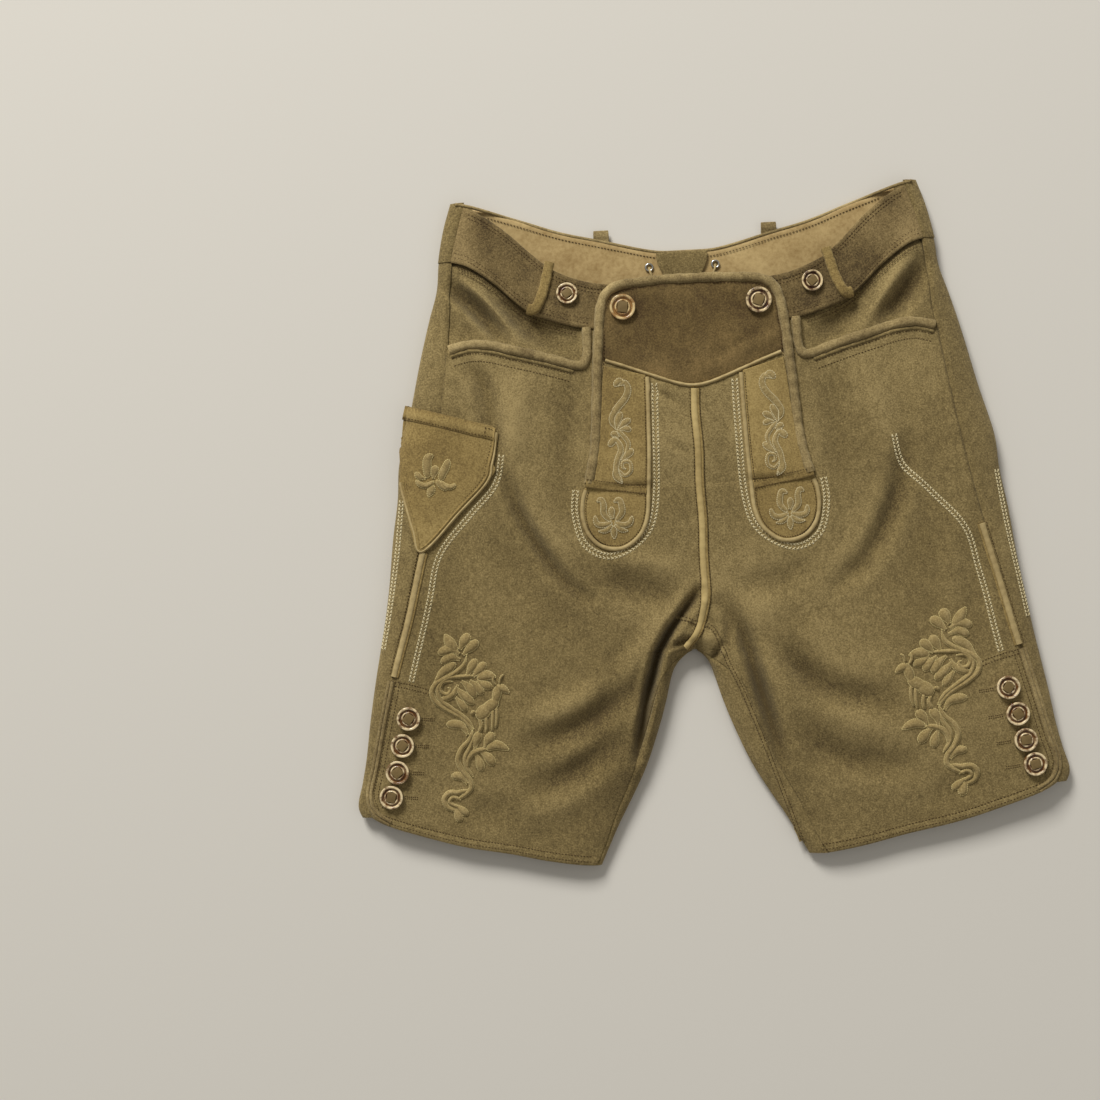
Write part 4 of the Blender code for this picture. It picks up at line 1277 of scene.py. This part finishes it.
# straps: route, width, height of the underside, thickness, points along it, material
strapPiece("knife_pocket_binding", knifeEdge, 2.6, 1.2, 2.6, 150, tanTrim, (), -1, 2.0, None, 0.05)
strapPiece("knife_pocket_binding_inner", offsetRoute(knifeEdge, 2.7, 90), 2.5, 1.9, 2.2, 150,
           trimSuede, (), -1, 2.0, None, 0.05)
inseamSeam = ((3, -21), (9, -24), (15, -30), (22.5, -42), (31, -58), (37, -70), (46, -93),
              (64, -147), (88, -222))
crotchSeam = ((-24, -14), (-12, -17), (0, -22))
for label, side in halves:
    strapPiece("pocket_welt_" + label + "_rolled", pocketWelt, 8.2, -0.2, 3.6, 110, rimSuede,
               ["pocket_welt_" + label], side, uneven=0.08)
    strapPiece("pocket_welt_" + label + "_under", offsetRoute(pocketWelt[:7], 6.1, 90), 3.4, -0.3,
               1.7, 110, suede, (), side, 2.0, None, 0.1)
    strapPiece("side_strip_" + label + "_ridge", sideStrip, 5.6, 0.2, 2.2, 100, tanTrim,
               ["side_strip_" + label], side)
    strapPiece("side_strip_" + label + "_edge", offsetRoute(sideStrip, -3.6, 40), 2.2, 0.0, 1.2, 90,
               trimSuede, (), side)
    strapPiece("vent_binding_" + label + "_front", offsetRoute(legSlit, -1.7), 3.6, 0.1, 1.9, 130,
               rimSuede, (), side)
    strapPiece("vent_binding_" + label + "_rear", offsetRoute(legSlit, 1.7), 3.2, -0.1, 1.5, 130,
               rimSuede, (), side)
    strapPiece("belt_loop_front_" + label + "_strap", frontLoop, 9.2, 1.2, 3.4, 60, trimSuede,
               ["belt_loop_front_" + label], side, 3.0, None, 0.05)
strapPiece("centre_strip_ridge", offsetRoute(centreStrip, -0.6, 90), 6.0, 0.1, 2.2, 200, paleTrim,
           ["centre_strip"], underAt=stripLift)
strapPiece("centre_strip_edge", offsetRoute(centreStrip, 3.1, 90), 2.4, 0.1, 1.5, 200, trimSuede,
           underAt=stripLift)
strapPiece("inseam_left_ridge", inseamSeam, 5.0, -0.5, 1.2, 150, suede, uneven=0.1)
strapPiece("crotch_seam_ridge", crotchSeam, 4.0, -0.6, 1.2, 30, suede, uneven=0.1)


# a small sheet over the back band, from rows of y, share of the half width, and z
def flatSheetPiece(name, x0, x1, rowsTable, thickness, material, nodes):
    keys = route(rowsTable, 14)
    share = np.linspace(-1, 1, 22)[None]
    middle, half = (x0 + x1) / 2, (x1 - x0) / 2
    x = middle + half * share * keys[:, 1:2]
    y = np.broadcast_to(keys[:, :1], x.shape)
    z = keys[:, 2:] + 0.35 * rippleAt(x * 3, y * 3)
    return sheetPiece(name, np.stack([x, y, z], axis=-1), thickness, material, nodes, True)


gussetRows = ((290, 0.62, 5.4), (300, 0.85, 5.6), (309, 1.0, 5.8), (315.5, 1.0, 5.6))
loopTipRows = ((325, 1.0, 1.4), (331, 1.0, 2.4), (334, 1.0, 3.4), (338.5, 0.96, 3.0))
flatSheetPiece("lacing_gusset_suede", -27, 19, gussetRows, 1.2, suede, ["lacing_gusset"])
for label, middle in (("right", -76), ("left", 76)):
    flatSheetPiece("belt_loop_back_" + label + "_tip", middle - 7, middle + 7, loopTipRows, 2.0,
                   rimSuede, ["belt_loop_back_" + label])
print("pockets, strips and loops made")


# x, y and radius
legButtons = ((269, -92, 10.5), (276, -116, 10.5), (282, -140, 10.5), (289, -162, 10.5))
ventSeam = ((283, -58), (262, -63), (245, -69))
thread = threadBox("brown_stitches", 0.34, brownThread)


def bandLine(table, away, low=96, high=210):
    xs = np.linspace(low, high, 24)
    return [(float(x), float(along(table, x)) + away) for x in xs]


for side in (-1, 1):
    for away in (5.3, 9.6):
        stitchRow(thread, bandLine(frontBandSeam, away, 92), 3.0, 0.85, side=side)
    for away in (-5.3, -8.8):
        stitchRow(thread, bandLine(frontBandTop, away, 2, 196), 3.0, 1.1, side=side)
    for away in (-3.2, -6.5):
        stitchRow(thread, bandLine(frontBandSeam, away, 104, 208), 3.0, -1.2, side=side)
    for away in (8.6, 15.2):
        stitchRow(thread, pocketWelt[:7], 2.9, 0.15, away, side=side)
    for away in (4.4, -4.4):
        stitchRow(thread, sideStrip, 2.8, 0.15, away, side=side)
    for away in (-4.6, -8.6):
        stitchRow(thread, legSlit[:5], 2.8, 0.15, away, side=side)
    for away in (3.6, 8.6):
        line = [(float(x), float(along(hem, x)) + away) for x in np.linspace(104, 300, 40)]
        stitchRow(thread, line, 2.9, 0.5, side=side)
    stitchRow(thread, flapRim[:10], 3.2, 0.2, 5.4, side=side, liftAt=flapLift)
    stitchRow(thread, stripPiping, 2.5, 1.7, 2.9, side=side, liftAt=stripLift)
    for away in (3.2, -3.2):
        stitchRow(thread, tongueBar, 2.4, 2.6, away, side=side, liftAt=footLift)
    for away in (2.9, -2.9):
        stitchRow(thread, frontLoop[:4], 2.6, 3.4, away, side=side)
    for away in (0, -4):
        stitchRow(thread, [(x, y + away) for x, y in ventSeam], 2.6, 0.15, side=side)
for x, y, radius in legButtons:
    for side in (-1, 1):
        for away in (0.9, -0.9):
            stitchRow(thread, ((x - 12, y - 1), (x - 18, y - 2), (x - 25, y - 2.5)), 1.8, 0.1,
                      away, 0.8, side)
for away in (4.6, -4.4):
    stitchRow(thread, centreStrip, 2.7, 0.15, away, liftAt=stripLift)
for away in (1.4, -1.4):
    stitchRow(thread, inseamSeam, 2.8, 0.65, away)
    stitchRow(thread, crotchSeam, 2.6, 0.65, away)
mouthStitches = (
    (((-263, 178.2), (-232, 169.0), (-205, 160.9), (-182, 154.2)), 4.5),
    (((-191, 165.0), (-191.6, 161.5), (-192.3, 158)), 5.2),
    (((-189, 163.4), (-185, 162.2), (-181, 161.0)), 5.3),
)
for line, lift in mouthStitches:
    stitchRow(thread, line, 2.5, lift)
stitchRow(thread, offsetRoute(knifeEdge, 5.2, 90), 2.6, 2.95, side=-1)

facingTop = [(float(x), float(along(backBandTop, abs(x))) - 6.0) for x in np.linspace(-178, 178, 60)]
stitchRow(thread, facingTop, 3.0, facing["stitchHeight"],
          liftAt=lambda x, y: 2.4 * ease(120, 190, np.abs(x)) - bodyTop(x, y))
zigzag = dict(
    radius=0.43, pitch=3.3, lift=0.1, legWidth=5.4, backWidth=4.6, flapWidth=6.2,
    leg=((176, 140), (183, 113), (207, 87), (236, 53), (247, 13), (258, -32), (265, -60)),
    back=((268, 104), (274, 59), (282, 15), (291, -30)),
    flap=((36, 197), (37, 155), (40, 92), (51, 61), (81, 44), (105, 55), (113, 83), (111, 105)),
)


def zigzagLift(x, y):
    return np.where(y > 104, np.maximum(flapLift(x, y), 0), 0)


cream = threadBox("cream_zigzag", zigzag["radius"], creamThread)
for side in (-1, 1):
    for part, liftAt in (("leg", None), ("back", None), ("flap", zigzagLift)):
        herringboneRow(cream, zigzag[part], zigzag[part + "Width"], zigzag["pitch"], zigzag["lift"],
                       side, liftAt)


def mirrorMotif(motif, side):
    return motif if side < 0 else tuple((k, w, tuple((-u, v) for u, v in p)) for k, w, p in motif)


outline = threadBox("embroidery_outline", 0.43, outlineThread)
paleOutline = threadBox("embroidery_outline_front", 0.4, creamThread)
work = paddedWork("embroidery_pads", padSuede, outline)
frontWork = paddedWork("embroidery_pads_front", padSuede, paleOutline)
for side in (-1, 1):
    for pads, motif, centre, lift, height, liftAt in (
        (work, legMotif, (0, 0), 0.1, 2.1, None),
        (work, deerMotif, (0, 0), 0.3, 2.2, None),
        (frontWork, stripMotif, (1, 0), 1.9, 1.1, flapLift),
        (frontWork, lilyMotif, (-79, 76), 2.0, 1.1, None),
    ):
        shaped = mirrorMotif(motif, side)
        drawMotif(pads, shaped, (centre[0] * -side, centre[1]), lift, height, liftAt)
drawMotif(work, pocketMotif, (0, 0), 3.7, 1.7)
for piece in (work, frontWork, outline, paleOutline):
    piece.finish()
cream.finish()
thread.finish()
print("stitching and embroidery made")


hornTable = (
    ("hornTan", (208, 182, 128), (148, 108, 58), 0.0),
    ("hornMixed", (228, 206, 160), (104, 66, 28), 0.35),
    ("hornDark", (222, 198, 150), (78, 44, 16), 0.8),
)
hornTan, hornMixed, hornDark = [
    shaded(name, "horn", hornGroup, {"Pale": tone(*pale), "Brown": tone(*brown), "Shift": shift},
           0.3, 0.12, 0.0002, coat=0.55)
    for name, pale, brown, shift in hornTable
]
buttonShape = dict(
    sides=56, height=4.1, round=0.75, tabWidth=0.86, tabLong=0.78, tabHigh=2.4, groove=1.3,
    turning=((0.17, 0), (0.09, -2.3), (0.10, 0), (0.05, 1.9), (0.11, 0), (0.03, -1.5)),
)


# x, y, radius, height of the back over the leather, and turn of the lace
topButtons = dict(flap=(61, 266, 11.5, 3.2, 0.15), band=(110, 281, 9.5, 1.2, 0.9))


# a turned button with a raised round rim and a dished face, tied on with a square lace
def makeButton(name, x, y, radius, lift, look, turn):
    seat = onBody(x, y, lift)
    normal = Vector((onBody(x, y, lift + 1) - seat).tolist()).normalized()
    place = placed(seat)
    clearSelection()
    bpy.ops.mesh.primitive_cylinder_add(vertices=buttonShape["sides"], radius=radius * mm,
                                        depth=buttonShape["height"] * mm, end_fill_type="NGON",
                                        location=(0, 0, buttonShape["height"] / 2 * mm))
    button = bpy.context.object
    button.name = name
    button.data.name = name
    bpy.ops.object.transform_apply(location=True, rotation=True, scale=True)
    bpy.ops.object.mode_set(mode="EDIT")
    bpy.ops.mesh.select_all(action="DESELECT")
    cage = bmesh.from_edit_mesh(button.data)
    for face in cage.faces:
        if face.normal.z > 0.9:
            face.select_set(True)
    bmesh.update_edit_mesh(button.data)
    for thickness, depth in buttonShape["turning"]:  # rim, groove, boss and its hole
        bpy.ops.mesh.inset(thickness=radius * thickness * mm, depth=depth * mm)
    bpy.ops.object.mode_set(mode="OBJECT")
    applyModifier(button, "BEVEL", width=buttonShape["round"] * mm, segments=4,
                  limit_method="ANGLE", angle_limit=math.radians(28))
    button.data.materials.append(look)
    # the turned groove and the foot of the disc are painted browner: painted shade in the hollows
    depths = [buttonShape["height"] - v.co.z / mm for v in button.data.vertices]
    addAttribute(button, np.clip(np.array(depths) / buttonShape["groove"] - 0.45, 0, 0.85))
    choose(button)
    bpy.ops.object.shade_smooth_by_angle(angle=math.radians(60))
    clearSelection()
    bpy.ops.mesh.primitive_cube_add(size=1, location=(0, 0, (buttonShape["height"] - 0.8) * mm))
    tab = bpy.context.object
    tab.scale = (radius * buttonShape["tabWidth"] * mm, radius * buttonShape["tabLong"] * mm,
                 buttonShape["tabHigh"] * mm)
    tab.rotation_euler = (0, 0, turn)
    bpy.ops.object.transform_apply(location=True, rotation=True, scale=True)
    applyModifier(tab, "BEVEL", width=0.6 * mm, segments=3, limit_method="NONE")
    tab.data.materials.append(laceTan)
    bpy.ops.object.shade_smooth()
    for piece, label, nodes in ((button, name + "_horn", [name]), (tab, name + "_lace", [])):
        choose(piece)
        piece.rotation_mode = "QUATERNION"
        piece.rotation_quaternion = normal.to_track_quat("Z", "Y")
        piece.location = Vector(place.tolist())
        bpy.ops.object.transform_apply(location=True, rotation=True, scale=True)
        piece.rotation_mode = "XYZ"
        piece.name = label
        finishPiece(piece, nodes)


for label, side in halves:
    for name, look in (("flap", hornTan if side < 0 else hornDark),
                       ("band", hornMixed if side < 0 else hornDark)):
        x, y, radius, lift, turn = topButtons[name]
        makeButton(name + "_button_" + label, x * side, y, radius, lift, look, turn)
    for row, (x, y, radius) in enumerate(legButtons, 1):
        makeButton(f"leg_button_{label}_{row}", x * side, y, radius, 0.9, hornMixed, 0.3 + 0.5 * row)
for name, x in (("eyelet_right", -34), ("eyelet_left", 26)):
    clearSelection()
    place = placed(np.array([x, 303.0, 5.4]))
    bpy.ops.mesh.primitive_torus_add(major_radius=3.2 * mm, minor_radius=0.85 * mm,
                                     major_segments=40, minor_segments=14, location=place.tolist())
    ring = bpy.context.object
    ring.name = name + "_ring"
    ring.data.materials.append(steelPlate)
    bpy.ops.object.transform_apply(location=True, rotation=True, scale=True)
    bpy.ops.object.shade_smooth()
    finishPiece(ring, [name])


# a round lace through free points (x, y, z)
def lacePiece(name, points, radius, material, slotName, nodes=(), count=70):
    sides = 10
    line = placed(route(points, count))
    ahead = np.gradient(line, axis=0)
    ahead /= np.linalg.norm(ahead, axis=1, keepdims=True)
    left = np.cross([0, 0, 1.0], ahead)
    left /= np.maximum(np.linalg.norm(left, axis=1, keepdims=True), 1e-9)
    up = np.cross(ahead, left)
    turn = np.linspace(0, 2 * np.pi, sides, endpoint=False)
    rings = line[:, None] + radius * mm * (left[:, None] * np.cos(turn)[None, :, None]
                                           + up[:, None] * np.sin(turn)[None, :, None])
    piece = meshPiece(name, rings, tubeFaces(count, sides), material)
    fixNormals(piece)
    return finishPiece(piece, nodes, slotName)


topEdge = [(x, y, 3.6 + 9 * float(ease(150, 206, abs(x)))) for x, y in backTop]
lacePiece("band_top_edge", topEdge, 1.5, rimSuede, "suede", count=200)
lace = dict(
    radius=1.1, points=((-34, 303, 3.9), (-33, 298, 6.6), (-30, 290, 6.9), (-22, 285.5, 6.9),
                        (-8, 284, 6.9), (8, 286, 6.9), (20, 291, 6.9), (25, 298, 6.8), (26, 303, 3.9)),
)
loop = lacePiece("back_lace_loop", lace["points"], lace["radius"], tanTrim, "lace", ["back_lace"])
loopLine = placed(route(lace["points"], 70))
print("buttons, eyelets and lace made")


clearSelection()
bpy.ops.mesh.primitive_plane_add(size=8, location=(0, 0, -0.0004))
ground = bpy.context.object
ground.name = "floor"
groundMaterial = bpy.data.materials.new("paleFloor")
groundMaterial.use_nodes = True
groundShader = groundMaterial.node_tree.nodes["Principled BSDF"]
groundShader.inputs["Base Color"].default_value = tone(214, 209, 198)
groundShader.inputs["Roughness"].default_value = 0.9
groundShader.inputs["Specular IOR Level"].default_value = 0.1
ground.data.materials.append(groundMaterial)

studio = dict(
    keyPlace=(-2.0, 4.6, 3.2), keyPower=376.0, keySize=1.9,
    fillPlace=(1.8, -0.8, 2.4), fillPower=5.0, fillSize=2.5, world=0.3,
)


def areaLight(name, place, power, size):
    data = bpy.data.lights.new(name, "AREA")
    data.energy, data.size = power, size
    light = bpy.data.objects.new(name, data)
    light.location = place
    light.rotation_euler = (-Vector(place)).to_track_quat("-Z", "Y").to_euler()
    bpy.context.scene.collection.objects.link(light)


areaLight("key", studio["keyPlace"], studio["keyPower"], studio["keySize"])
areaLight("fill", studio["fillPlace"], studio["fillPower"], studio["fillSize"])
world = bpy.data.worlds.new("softRoom")
world.use_nodes = True
world.node_tree.nodes["Background"].inputs["Color"].default_value = (1.0, 0.98, 0.95, 1)
world.node_tree.nodes["Background"].inputs["Strength"].default_value = studio["world"]
bpy.context.scene.world = world
bpy.context.scene.view_settings.view_transform = "Standard"

view = dict(centre=(-0.137, -0.015), height=1.6, across=0.99, turn=-3.0)
cameraData = bpy.data.cameras.new("view")
cameraData.sensor_width = 36
cameraData.lens = 36 * (view["height"] - 0.015) / view["across"]
camera = bpy.data.objects.new("view", cameraData)
camera.location = (view["centre"][0], view["centre"][1], view["height"])
camera.rotation_euler = (0, 0, math.radians(view["turn"]))
bpy.context.scene.collection.objects.link(camera)
bpy.context.scene.camera = camera

for name, size in sorted(flats.items()):
    print("flat", name, size[0], size[1])
print("finished")
